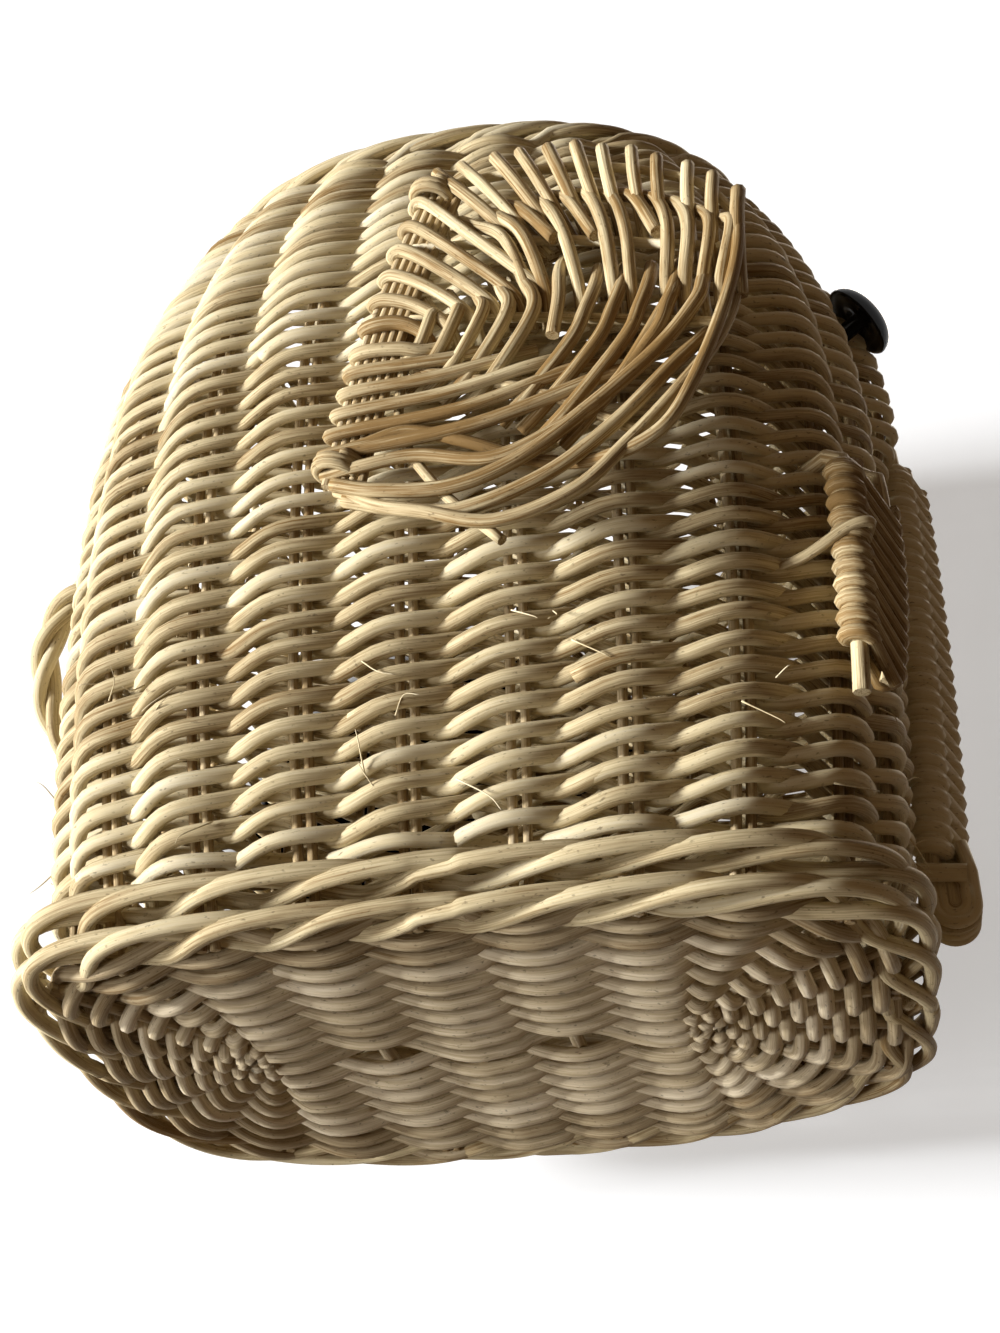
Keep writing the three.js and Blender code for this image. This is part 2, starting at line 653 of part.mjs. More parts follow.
// Assembly: wall, stakes and border
const SIDES = [['right', 1], ['left', -1]];
const wallTools = [];
for (let k = 0; k < STAKE_PAIRS; k += 1) {
  const bay = stakeBay(k);
  const name = `side_stake_pair_${String(k + 1).padStart(2, '0')}`;
  add(name, stakePair(bay, [STAKE_FOOT, ...wallLevels], 0), CANE_SHADE);
  wallTools.push(stakePair(bay, [WALL_BOTTOM - CUT_MARGIN, ...wallLevels, WALL_TOP + CUT_MARGIN], CLEARANCE));
}
SIDES.forEach(([, side]) => {
  const hinge = earHinge(side);
  const lashings = [[hinge.low, EAR_LOW_BAY, EAR_LOW_HEIGHT], [hinge.high, EAR_HIGH_BAY, EAR_HIGH_HEIGHT]];
  lashings.forEach(([place, bay, height]) => {
    wallTools.push(lashingShank(side, place, bay, height, CLEARANCE).geometry);
  });
  wallTools.push(eyeHole(side));
  wallTools.push(entryHole(tuskOuterPath(side), TUSK_ROD_RADIUS));
  wallTools.push(entryHole(tuskInnerPath(side), TUSK_ROD_RADIUS));
  wallTools.push(entryHole(tuskTiePath(side), TUSK_CANE_RADIUS));
  wallTools.push(entryHole(trunkRodPath(side), TRUNK_ROD_RADIUS));
});
wallTools.push(...tailHoles());

// Each row of the wall comes forward over every second stake pair; the rows' seam lies behind the trunk
function strokeOutset(row, bay) {
  const lift = Math.cos(Math.PI * (bay - stakeBay(row)));
  return WALL_RELIEF * (Math.max(lift, 0) - 1);
}

function wallShell() {
  const rows = levels(WALL_BOTTOM, WALL_TOP, Math.round((WALL_TOP - WALL_BOTTOM) / WALL_ROW_PITCH));
  return skin(stations.map((bay) => [
    ...rows.map((height, row) => bayPoint(bay, height, strokeOutset(row, bay))),
    ...wallLevels.map((height) => bayPoint(bay, height, -WALL_THICKNESS)).reverse(),
  ]), true);
}

add('wall_weave', cut(wallShell(), wallTools), CANE);
add('rim_border', border(), CANE_SHADE);

// Assembly: ears, eyes and tusks on both sides
SIDES.forEach(([name, side]) => {
  const hinge = earHinge(side);
  const ear = earPlacement(side);
  add(`${name}_ear_weave`, earWeave(hinge.span).applyMatrix4(ear), CANE);
  add(`${name}_ear_edge_rods`, edgeRod(hinge.span).applyMatrix4(ear), CANE_SHADE);
  const lower = lashing(side, hinge.low, hinge.axis, EAR_LOW_BAY, EAR_LOW_HEIGHT);
  add(`${name}_ear_lashing_lower`, lower, CANE_SHADE);
  const upper = lashing(side, hinge.high, hinge.axis, EAR_HIGH_BAY, EAR_HIGH_HEIGHT);
  add(`${name}_ear_lashing_upper`, upper, CANE_SHADE);
  const eye = eyePlacement(side);
  add(`${name}_eye_button`, eyeButton().applyMatrix4(eye), EYE_BLACK);
  add(`${name}_eye_washer`, eyeWasher().applyMatrix4(eye), EYE_BLACK);
  const outer = tuskOuterPath(side);
  const inner = tuskInnerPath(side);
  add(`${name}_tusk_outer_rod`, rod(outer, TUSK_ROD_RADIUS, ROD_SIDES), CANE);
  add(`${name}_tusk_inner_rod`, rod(inner, TUSK_ROD_RADIUS, ROD_SIDES), CANE);
  const cane = winding(outer, inner, TUSK_CANE_RADIUS, TUSK_WIND_TOP, TUSK_WIND_BOTTOM,
    TUSK_LOOPS, TUSK_ROD_RADIUS);
  add(`${name}_tusk_winding`, wound(`${name}_tusk_winding`, cane, TUSK_CANE_RADIUS), CANE);
  add(`${name}_tusk_tie`, rod(tuskTiePath(side), TUSK_CANE_RADIUS, ROD_SIDES), CANE);
});

// Assembly: trunk and tail
SIDES.forEach(([name, side]) => {
  add(`trunk_rod_${name}`, rod(trunkRodPath(side), TRUNK_ROD_RADIUS, ROD_SIDES), CANE_SHADE);
});
const trunkCane = winding(trunkRodPath(-1), trunkRodPath(1), TRUNK_CANE_RADIUS, TRUNK_WIND_TOP,
  TRUNK_WIND_BOTTOM, TRUNK_LOOPS, TRUNK_ROD_RADIUS);
add('trunk_winding', wound('trunk_winding', trunkCane, TRUNK_CANE_RADIUS), CANE_SHADE);
add('trunk_cross_strip', trunkStrip(), CANE);
add('trunk_end_roll', trunkRoll(), CANE_SHADE);
add('tail_loop', rod(tailPath(), TAIL_RADIUS, ROD_SIDES), CANE_SHADE);

export default group;
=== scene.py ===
"""Dresses the elephant-shaped cane basket. Every strand of its weave is a tube on its own path."""

import json
import math

import bpy
import numpy as np
from mathutils import Matrix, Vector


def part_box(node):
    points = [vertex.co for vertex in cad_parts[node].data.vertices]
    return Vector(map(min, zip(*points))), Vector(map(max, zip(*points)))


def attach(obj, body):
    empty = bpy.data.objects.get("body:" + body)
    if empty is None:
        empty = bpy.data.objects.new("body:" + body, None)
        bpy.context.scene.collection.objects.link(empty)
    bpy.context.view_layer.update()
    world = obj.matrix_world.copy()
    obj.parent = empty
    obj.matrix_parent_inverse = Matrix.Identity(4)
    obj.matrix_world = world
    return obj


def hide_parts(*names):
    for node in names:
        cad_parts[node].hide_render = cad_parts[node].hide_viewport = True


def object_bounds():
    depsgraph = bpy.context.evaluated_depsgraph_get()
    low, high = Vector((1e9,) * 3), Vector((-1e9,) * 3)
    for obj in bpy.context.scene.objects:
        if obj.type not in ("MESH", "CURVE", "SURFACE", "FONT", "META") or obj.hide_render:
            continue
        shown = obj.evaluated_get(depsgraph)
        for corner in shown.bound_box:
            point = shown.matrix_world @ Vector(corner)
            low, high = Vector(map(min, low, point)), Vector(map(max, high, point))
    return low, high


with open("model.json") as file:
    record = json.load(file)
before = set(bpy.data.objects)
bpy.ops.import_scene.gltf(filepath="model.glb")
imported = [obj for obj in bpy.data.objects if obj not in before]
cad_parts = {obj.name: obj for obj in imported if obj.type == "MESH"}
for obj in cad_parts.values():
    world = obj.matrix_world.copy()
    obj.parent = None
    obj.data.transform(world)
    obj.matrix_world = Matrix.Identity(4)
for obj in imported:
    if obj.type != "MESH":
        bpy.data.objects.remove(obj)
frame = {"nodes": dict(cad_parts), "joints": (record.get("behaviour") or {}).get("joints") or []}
cad_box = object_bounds()
rng = np.random.default_rng(11)
MM = 0.001


def box_of(node):
    low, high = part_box(node)
    return np.array(low), np.array(high)


wall_low, wall_high = box_of("wall_weave")
base_low, base_high = box_of("base_weave")
border_low, border_high = box_of("rim_border")
lower_wale = box_of("foot_wale_lower")
upper_wale = box_of("foot_wale_upper")
roll_low, roll_high = box_of("trunk_end_roll")
strip_low, strip_high = box_of("trunk_cross_strip")
ear_low = box_of("right_ear_weave")[0]
joints = {joint["name"]: joint for joint in frame["joints"]}

# Cane sizes
WEAVER_RADIUS = 2.0 * MM
STAKE_RADIUS = 1.25 * MM
STAKE_SPREAD = 1.65 * MM
WALE_RADIUS = 2.0 * MM
BORDER_CANE_RADIUS = 1.75 * MM
BASE_RIB_RADIUS = 1.8 * MM
EAR_CANE_RADIUS = 1.75 * MM
EAR_RIB_RADIUS = 1.3 * MM
EDGE_ROD_RADIUS = 1.15 * MM
LASHING_RADIUS = 1.5 * MM
KNOT_CANE_RADIUS = 1.4 * MM
TUSK_ROD_RADIUS = 2.0 * MM
TUSK_WRAP_RADIUS = 1.5 * MM
TUSK_BEAD_RADIUS = 1.85 * MM
TUSK_TIE_RADIUS = 1.35 * MM
TRUNK_ROD_RADIUS = 2.1 * MM
TRUNK_WRAP_RADIUS = 1.6 * MM
TRUNK_BEAD_RADIUS = 1.95 * MM
ROLL_CANE_RADIUS = 1.7 * MM
TAIL_CANE_RADIUS = 2.2 * MM

# The pot: half length and half width at the base, the belly and the rim
SIDES_OF_FACE = (("right", 1), ("left", -1))
BAYS = 25
FIRST_STAKE = 0.5
STAKE_DEPTH = 4 * MM
BASE_INSET = 5.7 * MM
BASE_SQUARENESS = 4.45
RIM_SQUARENESS = 2.3
BELLY_SHARE = 0.6016
RIM_HEIGHT = border_high[2]
BORDER_RADIUS = (border_high[2] - border_low[2]) / 2
BORDER_HEIGHT = RIM_HEIGHT - BORDER_RADIUS
BELLY_HEIGHT = BELLY_SHARE * RIM_HEIGHT
BASE_HALF = (base_high - base_low)[:2] / 2 + BASE_INSET
BELLY_HALF = (wall_high - wall_low)[:2] / 2
border_half = (border_high - border_low)[:2] / 2 - BORDER_RADIUS + STAKE_DEPTH
border_fall = ((BORDER_HEIGHT - BELLY_HEIGHT) / (RIM_HEIGHT - BELLY_HEIGHT)) ** 2
RIM_HALF = BELLY_HALF - (BELLY_HALF - border_half) / border_fall

# The foot reaches further back than the wall; its left side bulges and is rounder at the front corner
FOOT_SPREAD = 3.5 * MM
FOOT_SPREAD_START = 0.5
FOOT_BULGE = 13 * MM
FOOT_BULGE_START = 0.4
FOOT_BULGE_MIDDLE = -0.2
FOOT_CORNER = 9.0 * MM
FOOT_CORNER_SPAN = (0.4, 0.9)
FOOT_FADE = 90 * MM

# The wall swells over the stakes beside the trunk, where its rods are let in
FACE_SWELL = 7.5 * MM
FACE_SWELL_BAYS = 0.42
FACE_SWELL_BAND = np.array([140, 168, 204, 234]) * MM

# Strands: steps along a bay, sides of a tube, and the spread of their tones
STEPS_PER_BAY = 8
SIDES = 8
THIN_SIDES = 6
GRAIN_OFFSET = 50
PLAIN_TONES = (0.2, 0.8)
TONE_STEPS = 24
TONE_DRIFT = 0.06

# Bake map: a row in girths, the gap after a strand in radii, spare width, and round ends in rows
MAP_ROW = 1.15
MAP_GAP = 4
MAP_SLACK = 1.03
MAP_ENDS = 8
END_RADIUS = 0.225
END_STEP = 1.2


# The pot's shape

def ease(value, low, high):
    share = np.clip((value - low) / (high - low), 0, 1)
    return share * share * (3 - 2 * share)


def window(value, rise_start, rise_end, fall_start, fall_end):
    """One within a span of values, easing to nought at both of its ends."""
    return ease(value, rise_start, rise_end) * (1 - ease(value, fall_start, fall_end))


def pot_half(z):
    rise = 1 - (1 - np.minimum(z / BELLY_HEIGHT, 1)) ** 2
    fall = np.clip((z - BELLY_HEIGHT) / (RIM_HEIGHT - BELLY_HEIGHT), 0, 1) ** 2
    belly = BASE_HALF + rise[..., None] * (BELLY_HALF - BASE_HALF)
    return belly - fall[..., None] * (BELLY_HALF - RIM_HALF)


def oval_point(angle, z, out):
    """A point of the pot's wall; out is how far it stands off the wall's outer face."""
    angle, z, out = np.broadcast_arrays(*(np.asarray(value, float) for value in (angle, z, out)))
    power = BASE_SQUARENESS + (RIM_SQUARENESS - BASE_SQUARENESS) * np.clip(z / RIM_HEIGHT, 0, 1)
    turn = np.stack([np.cos(angle), np.sin(angle)], -1)
    flat = (pot_half(z) + out[..., None]) * np.sign(turn) * np.abs(turn) ** (2 / power[..., None])
    return np.concatenate([flat, z[..., None]], -1)


def unit(vectors):
    return vectors / np.linalg.norm(vectors, axis=-1, keepdims=True)


def round_angles(sides):
    return np.arange(sides) * 2 * math.pi / sides


def walked_along(points):
    """The way along a row of points up to each of them."""
    return np.concatenate([[0], np.cumsum(np.linalg.norm(np.diff(points, axis=0), axis=1))])


def bay_table(levels=48, fine=16, steps=2880):
    """Angles of equally wide bays at several heights, from the face's middle towards the right flank."""
    angles = np.linspace(0, -2 * math.pi, steps + 1)
    shares = np.linspace(0, 1, BAYS * fine + 1)
    rows = []
    for z in np.linspace(0, RIM_HEIGHT, levels):
        walked = walked_along(oval_point(angles, z, -STAKE_DEPTH))
        rows.append(np.interp(shares * walked[-1], walked, angles))
    return np.array(rows)


BAY_ANGLES = bay_table()


def bay_angle(bay, z):
    bay, z = np.broadcast_arrays(np.asarray(bay, float), np.asarray(z, float))
    levels, columns = np.array(BAY_ANGLES.shape) - 1
    turns = np.floor(bay / BAYS)
    across = (bay / BAYS - turns) * columns
    up = np.clip(z / RIM_HEIGHT, 0, 1) * levels
    column = np.minimum(across.astype(int), columns - 1)
    row = np.minimum(up.astype(int), levels - 1)
    share, part = across - column, up - row
    low = BAY_ANGLES[row, column] * (1 - share) + BAY_ANGLES[row, column + 1] * share
    high = BAY_ANGLES[row + 1, column] * (1 - share) + BAY_ANGLES[row + 1, column + 1] * share
    return low * (1 - part) + high * part - 2 * math.pi * turns


def bulge_left(points):
    """Towards the foot the left flank bulges a little behind its middle, and its front corner is rounder."""
    near_foot = 1 - ease(points[..., 2], 0, FOOT_FADE)
    across = ease(points[..., 1], FOOT_BULGE_START * BASE_HALF[1], BASE_HALF[1]) * near_foot
    along = points[..., 0] / BASE_HALF[0]
    points[..., 1] += FOOT_BULGE * across * np.clip(1 - (along - FOOT_BULGE_MIDDLE) ** 2, 0, 1)
    points[..., 0] -= FOOT_CORNER * across * ease(along, *FOOT_CORNER_SPAN)
    return points


def wall_point(bay, z, out):
    return bulge_left(oval_point(bay_angle(bay, z), z, out))


def bay_width(z):
    ring = wall_point(np.linspace(0, BAYS, STEPS_PER_BAY * BAYS + 1), z, -STAKE_DEPTH)
    return np.linalg.norm(np.diff(ring, axis=0), axis=1).sum() / BAYS


def spread_foot(points):
    """The foot reaches a little further back than the wall above it."""
    points[..., 0] -= FOOT_SPREAD * ease(-points[..., 0], FOOT_SPREAD_START * BASE_HALF[0], BASE_HALF[0])
    return points


def face_swell(bay, z):
    from_middle = np.abs((bay + BAYS / 2) % BAYS - BAYS / 2)
    beside = np.abs(from_middle - FIRST_STAKE)
    return FACE_SWELL * np.exp(-(beside / FACE_SWELL_BAYS) ** 2) * window(z, *FACE_SWELL_BAND)


# Strands

def smooth_path(knots, steps):
    """A smooth curve through a list of points."""
    knots = np.asarray(knots, float)
    ends = np.concatenate([[2 * knots[0] - knots[1]], knots, [2 * knots[-1] - knots[-2]]])
    t = np.linspace(0, 1, steps, endpoint=False)[:, None]
    parts = []
    for a, b, c, d in zip(ends, ends[1:], ends[2:], ends[3:]):
        parts.append(b + 0.5 * t * (c - a + t * (2 * a - 5 * b + 4 * c - d + t * (3 * (b - c) + d - a))))
    return np.concatenate(parts + [knots[-1:]])


def wander(count, every, size):
    """Smooth random values, with a new one each so many steps."""
    knots = rng.normal(0, size, count // every + 3)
    return np.interp(np.arange(count) / every, np.arange(len(knots)), knots)


class Weave:
    """Gathers strands of cane into one piece, with their grain, tone and bake map."""

    def __init__(self):
        self.points, self.grain, self.tone = [], [], []
        self.quads, self.caps, self.count = [], [], 0
        self.strips, self.walked, self.girth = [], 0.0, 0.0

    def strand(self, path, radius, sides=SIDES, aspect=1.0, face=None, tone=None):
        """A tube along a path; aspect flattens it across face, and tone sets how pale the cane is."""
        path = np.asarray(path, float)
        count = len(path)
        radius = np.broadcast_to(radius, count)
        ahead = unit(np.gradient(path, axis=0))
        if face is None:
            face = np.linalg.eigh(ahead.T @ ahead)[1][:, 0]
        side = unit(np.cross(ahead, face))
        other = np.cross(side, ahead)
        turn = round_angles(sides)
        cosine, sine = np.cos(turn), np.sin(turn)
        wheel = cosine[None, :, None] * side[:, None] + aspect * sine[None, :, None] * other[:, None]
        rings = path[:, None] + radius[:, None, None] * wheel
        along = walked_along(path)
        grain_along = along[:, None] + rng.uniform(0, GRAIN_OFFSET)
        grain = np.broadcast_arrays(radius[:, None] * cosine, radius[:, None] * sine, grain_along)
        tone = rng.uniform(*PLAIN_TONES) if tone is None else tone
        tones = np.broadcast_to(tone, count) + wander(count, TONE_STEPS, TONE_DRIFT)
        rows = self.count + np.arange(count - 1)[:, None] * sides
        near = rows + np.arange(sides)
        following = rows + (np.arange(sides) + 1) % sides
        self.quads.append(np.stack([near, following, following + sides, near + sides], -1).reshape(-1, 4))
        self.caps.append((self.count, self.count + (count - 1) * sides, sides))
        self.points.append(rings.reshape(-1, 3))
        self.grain.append(np.stack(grain, -1).reshape(-1, 3))
        self.tone.append(np.repeat(tones, sides))
        self.strips.append((self.walked + along, radius, sides))
        self.girth = max(self.girth, 2 * math.pi * radius.max())
        self.walked += along[-1] + MAP_GAP * radius.max()
        self.count += count * sides

    def bake_map(self):
        """Strips of unrolled cane laid in rows; the round ends lie just past their strip."""
        row = MAP_ROW * self.girth
        wide = math.sqrt(self.walked * row) * MAP_SLACK + MAP_ENDS * row
        run = wide - (MAP_ENDS - 1) * row
        strips, ends = [], []
        for along, radius, sides in self.strips:
            rows = np.floor(along[:-1] / run)
            left = along[:-1] - rows * run
            right = left + np.diff(along)
            girth = np.arange(sides + 1) / sides * 2 * math.pi * radius.max()
            low = (rows * row)[:, None] + girth[None, :-1]
            high = (rows * row)[:, None] + girth[None, 1:]
            across = np.broadcast_to(left[:, None], low.shape)
            beyond = np.broadcast_to(right[:, None], low.shape)
            corners = np.stack([np.stack([across, low], -1), np.stack([across, high], -1),
                                np.stack([beyond, high], -1), np.stack([beyond, low], -1)], 2)
            strips.append(corners.reshape(-1, 2))
            turn = round_angles(sides)
            disc = END_RADIUS * row * np.stack([np.cos(turn), np.sin(turn)], -1)
            middle = np.array([right[-1] + 2 * radius.max(), (rows[-1] + 0.5) * row])
            ends += [middle + disc, middle + np.array([END_STEP * row, 0]) + disc]
        return np.concatenate(strips + ends) / wide

    def build(self, name, material, slot, *nodes, body="basket"):
        points = np.concatenate(self.points)
        quads = np.concatenate(self.quads)
        ends = []
        for first, last, sides in self.caps:
            ends.append(np.arange(first, first + sides)[::-1])
            ends.append(np.arange(last, last + sides))
        corners = np.concatenate([quads.ravel()] + ends)
        sizes = np.concatenate([np.full(len(quads), 4), [len(end) for end in ends]]).astype(int)
        mesh = bpy.data.meshes.new(name)
        mesh.vertices.add(len(points))
        mesh.vertices.foreach_set("co", points.ravel())
        mesh.loops.add(len(corners))
        mesh.loops.foreach_set("vertex_index", corners)
        mesh.polygons.add(len(sizes))
        mesh.polygons.foreach_set("loop_start", np.concatenate([[0], np.cumsum(sizes)[:-1]]))
        mesh.polygons.foreach_set("use_smooth", np.arange(len(sizes)) < len(quads))
        mesh.update(calc_edges=True)
        grain = mesh.attributes.new("grain", "FLOAT_VECTOR", "POINT")
        grain.data.foreach_set("vector", np.concatenate(self.grain).ravel())
        tone = mesh.attributes.new("tone", "FLOAT", "POINT")
        tone.data.foreach_set("value", np.concatenate(self.tone))
        layer = mesh.uv_layers.new(name="OFBake")
        layer.data.foreach_set("uv", self.bake_map().ravel())
        mesh.validate()
        dress(name, mesh, material, nodes, body)


def add_object(name, data):
    thing = bpy.data.objects.new(name, data)
    bpy.context.scene.collection.objects.link(thing)
    return thing


def dress(name, mesh, material, nodes, body="basket"):
    piece = add_object(name, mesh)
    mesh.materials.append(material)
    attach(piece, body)
    if nodes:
        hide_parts(*nodes)


# Material nodes

def add_node(tree, kind, inputs=None, **settings):
    node = tree.nodes.new(kind)
    for key, value in settings.items():
        setattr(node, key, value)
    for key, value in (inputs or {}).items():
        if isinstance(value, bpy.types.NodeSocket):
            tree.links.new(value, node.inputs[key])
        else:
            node.inputs[key].default_value = value
    return node


def add_math(tree, operation, first, second):
    return add_node(tree, "ShaderNodeMath", {0: first, 1: second}, operation=operation).outputs[0]


def add_vector(tree, operation, first, second):
    return add_node(tree, "ShaderNodeVectorMath", {0: first, 1: second}, operation=operation).outputs[0]


def add_noise(tree, vector, scale, detail, roughness=0.5):
    inputs = {"Vector": vector, "Scale": scale, "Detail": detail, "Roughness": roughness}
    return add_node(tree, "ShaderNodeTexNoise", inputs).outputs["Fac"]


def add_range(tree, value, start, end, low=0.0, high=1.0):
    """A value between start and end becomes one between low and high."""
    inputs = {"Value": value, "From Min": start, "From Max": end, "To Min": low, "To Max": high}
    return add_node(tree, "ShaderNodeMapRange", inputs).outputs[0]


def bare_tree(owner):
    owner.use_nodes = True
    owner.node_tree.nodes.clear()
    return owner.node_tree


def blank_material(name):
    material = bpy.data.materials.new(name)
    material.use_nodes = True
    tree = material.node_tree
    return material, tree, tree.nodes["Principled BSDF"]


# Cane grain: streaks and specks to a metre across and along a strand
FINE_STREAKS = (2600, 60)
BROAD_STREAKS = (700, 28)
STREAK_ROUGHNESS = 0.65
SPECKS = (1300, 620)
SPECK_SPAN = (0.63, 0.74)
SPECK_DEPTH = 0.55
SPECK_SHADE = 0.35
COLOUR_STOPS = (0.22, 0.5, 0.78)
CANE_ROUGHNESS = (0.5, 0.72)


def cane_material(name, dark, middle, pale):
    """Bare cane: streaks along the strand, a tone for each strand, dark specks and a fibrous surface."""
    material, tree, shader = blank_material(name)
    grain = add_node(tree, "ShaderNodeAttribute", attribute_name="grain").outputs["Vector"]
    tone = add_node(tree, "ShaderNodeAttribute", attribute_name="tone").outputs["Fac"]
    spot = add_node(tree, "ShaderNodeTexCoord").outputs["Object"]

    def along_grain(across, along, *detail):
        return add_noise(tree, add_vector(tree, "MULTIPLY", grain, (across, across, along)), 1.0, *detail)

    fine = along_grain(*FINE_STREAKS, 4, STREAK_ROUGHNESS)
    broad = along_grain(*BROAD_STREAKS, 3, STREAK_ROUGHNESS)
    blotch = add_noise(tree, spot, scale=38.0, detail=3.0)
    mixed = add_math(tree, "MULTIPLY", fine, 0.6)
    for value, share in ((broad, 0.55), (tone, 0.5), (blotch, 0.35)):
        mixed = add_math(tree, "ADD", mixed, add_math(tree, "MULTIPLY", value, share))
    ramp = add_node(tree, "ShaderNodeValToRGB", {"Fac": add_math(tree, "SUBTRACT", mixed, 0.5)})
    stops = ramp.color_ramp.elements
    stops.new(COLOUR_STOPS[1])
    for stop, position, colour in zip(stops, COLOUR_STOPS, (dark, middle, pale)):
        stop.position = position
        stop.color = (*colour, 1)
    speckle = add_range(tree, along_grain(*SPECKS, 2.0), *SPECK_SPAN, 0.0, SPECK_DEPTH)
    speck_colour = (*(SPECK_SHADE * part for part in dark), 1)
    layers = {"Factor": speckle, "A": ramp.outputs["Color"], "B": speck_colour}
    colour = add_node(tree, "ShaderNodeMix", layers, data_type="RGBA")
    tree.links.new(colour.outputs["Result"], shader.inputs["Base Color"])
    tree.links.new(add_range(tree, broad, 0.0, 1.0, *CANE_ROUGHNESS), shader.inputs["Roughness"])
    shader.inputs["Specular IOR Level"].default_value = 0.1
    bump = add_node(tree, "ShaderNodeBump", {"Height": fine, "Strength": 0.5, "Distance": 0.6 * MM})
    tree.links.new(bump.outputs["Normal"], shader.inputs["Normal"])
    return material


def gloss_material(name, colour, scuffed, roughness):
    """Moulded gloss with faint scuffs."""
    material, tree, shader = blank_material(name)
    spot = add_node(tree, "ShaderNodeTexCoord").outputs["Object"]
    scuff = add_noise(tree, spot, scale=260.0, detail=4.0)
    tree.links.new(add_range(tree, scuff, 0.0, 1.0, *roughness), shader.inputs["Roughness"])
    ramp = add_node(tree, "ShaderNodeValToRGB", {"Fac": scuff})
    ramp.color_ramp.elements[0].color = (*colour, 1)
    ramp.color_ramp.elements[1].color = (*scuffed, 1)
    tree.links.new(ramp.outputs["Color"], shader.inputs["Base Color"])
    shader.inputs["Specular IOR Level"].default_value = 0.18
    return material


CANE = cane_material("cane", (0.22, 0.135, 0.05), (0.66, 0.565, 0.355), (0.745, 0.685, 0.525))
# The stake cane is darker than the weave's cane: painted shade in the gaps between strokes, where the stakes
# show
STAKE_CANE_PAINTED_SHADE = cane_material("stake_cane_painted_shade", (0.17, 0.09, 0.03), (0.40, 0.30, 0.16), (0.68, 0.57, 0.38))
BASE_CANE = cane_material("base_cane", (0.20, 0.13, 0.055), (0.52, 0.43, 0.28), (0.82, 0.73, 0.56))
EYE_BLACK = gloss_material("eye_black", (0.006, 0.006, 0.007), (0.0096, 0.0096, 0.0112), (0.12, 0.24))


# Wall and stakes: how far rows swing past the stakes, lean at each stroke and waver
ROW_PITCH = 3.28 * MM
WALL_STRAND_PAIRS = (16, 30)
WALL_SWING = 1.08 * (STAKE_RADIUS + WEAVER_RADIUS)
WALL_SHIFT = 0.12
WALL_LEAN = 2.9 * MM
WALL_SKEW = 0.3
WALL_EDGE = 9 * MM
ROW_WAVER = 0.22 * MM
SWING_WAVER = 0.18 * MM
WEAVER_VARIES = 0.04
WEAVER_DRIFT = 0.03
STAKE_OVERLAP = 1 * MM

# Rows lie looser over the belly, and most of all in the left flank's neck
LOOSE_BELLY = np.array([92, 108, 172, 188]) * MM
LOOSE_NECK = np.array([182, 192, 234, 242]) * MM
LOOSE_FLANK_BAYS = (13.5, 15, 22, 23.5)
NECK_LOOSENESS = 2
LOOSE_THINNING = 0.19


def slope_walk(low, high, steps=400):
    """Heights up the wall, and the way along its slope to each of them."""
    z = np.linspace(low, high, steps)
    return z, walked_along(np.stack([pot_half(z)[:, 1], z], -1))


def looseness(bay, height):
    flank = window(bay % BAYS, *LOOSE_FLANK_BAYS)
    neck = NECK_LOOSENESS * flank * window(height, *LOOSE_NECK)
    return np.maximum(window(height, *LOOSE_BELLY), neck)


def strand_bays(total, pairs):
    """The bays along each strand in turn; a strand begins a bay before the last one ends."""
    begin = 0.0
    while begin < total - 2:
        finish = min(begin + 2 * rng.integers(*pairs) + 1, total)
        yield np.arange(begin, finish + 0.01, 1 / STEPS_PER_BAY)
        begin = finish - 1


def weave_wall(parts=2):
    z, walked = slope_walk(wall_low[2] + WEAVER_RADIUS, wall_high[2] - 0.5 * WEAVER_RADIUS)
    low_edge, high_edge = (wall_low[2], wall_low[2] + WALL_EDGE), (wall_high[2] - WALL_EDGE, wall_high[2])
    total = walked[-1] / ROW_PITCH * BAYS
    pieces = [Weave() for _ in range(parts)]
    for bay in strand_bays(total, WALL_STRAND_PAIRS):
        stroke = math.pi * (bay - FIRST_STAKE)
        height = np.interp(bay / total * walked[-1], walked, z)
        loose = looseness(bay, height)
        lean = window(height, *low_edge, *high_edge) * (np.sin(stroke) - WALL_SKEW * np.sin(2 * stroke))
        height += wander(len(bay), 10, ROW_WAVER) - WALL_LEAN * lean
        swing = WALL_SWING * np.cos(stroke - math.pi * WALL_SHIFT)
        out = swing + face_swell(bay, height) + wander(len(bay), 14, SWING_WAVER)
        path = wall_point(bay, height, out - STAKE_DEPTH)
        varied = 1 + rng.normal(0, WEAVER_VARIES) + wander(len(bay), 30, WEAVER_DRIFT)
        thickness = WEAVER_RADIUS * (varied - LOOSE_THINNING * loose)
        pieces[min(int(bay[0] / total * parts), parts - 1)].strand(path, thickness)
    for index, piece in enumerate(pieces):
        nodes = ["wall_weave"] if index == 0 else []
        piece.build(f"wall_rows_{index + 1}", CANE, "cane", *nodes)


def weave_stakes(steps=40):
    weave = Weave()
    heights = np.linspace(lower_wale[0][2] + WALE_RADIUS, wall_high[2] + STAKE_OVERLAP, steps)
    widths = np.array([bay_width(z) for z in heights])
    for index in range(BAYS):
        for side in (-1, 1):
            bay = index + FIRST_STAKE + side * STAKE_SPREAD / widths
            path = wall_point(bay, heights, face_swell(bay, heights) - STAKE_DEPTH)
            weave.strand(path, STAKE_RADIUS, sides=THIN_SIDES)
    names = [f"side_stake_pair_{index + 1:02d}" for index in range(BAYS)]
    weave.build("side_stakes", STAKE_CANE_PAINTED_SHADE, "shaded_cane", *names)


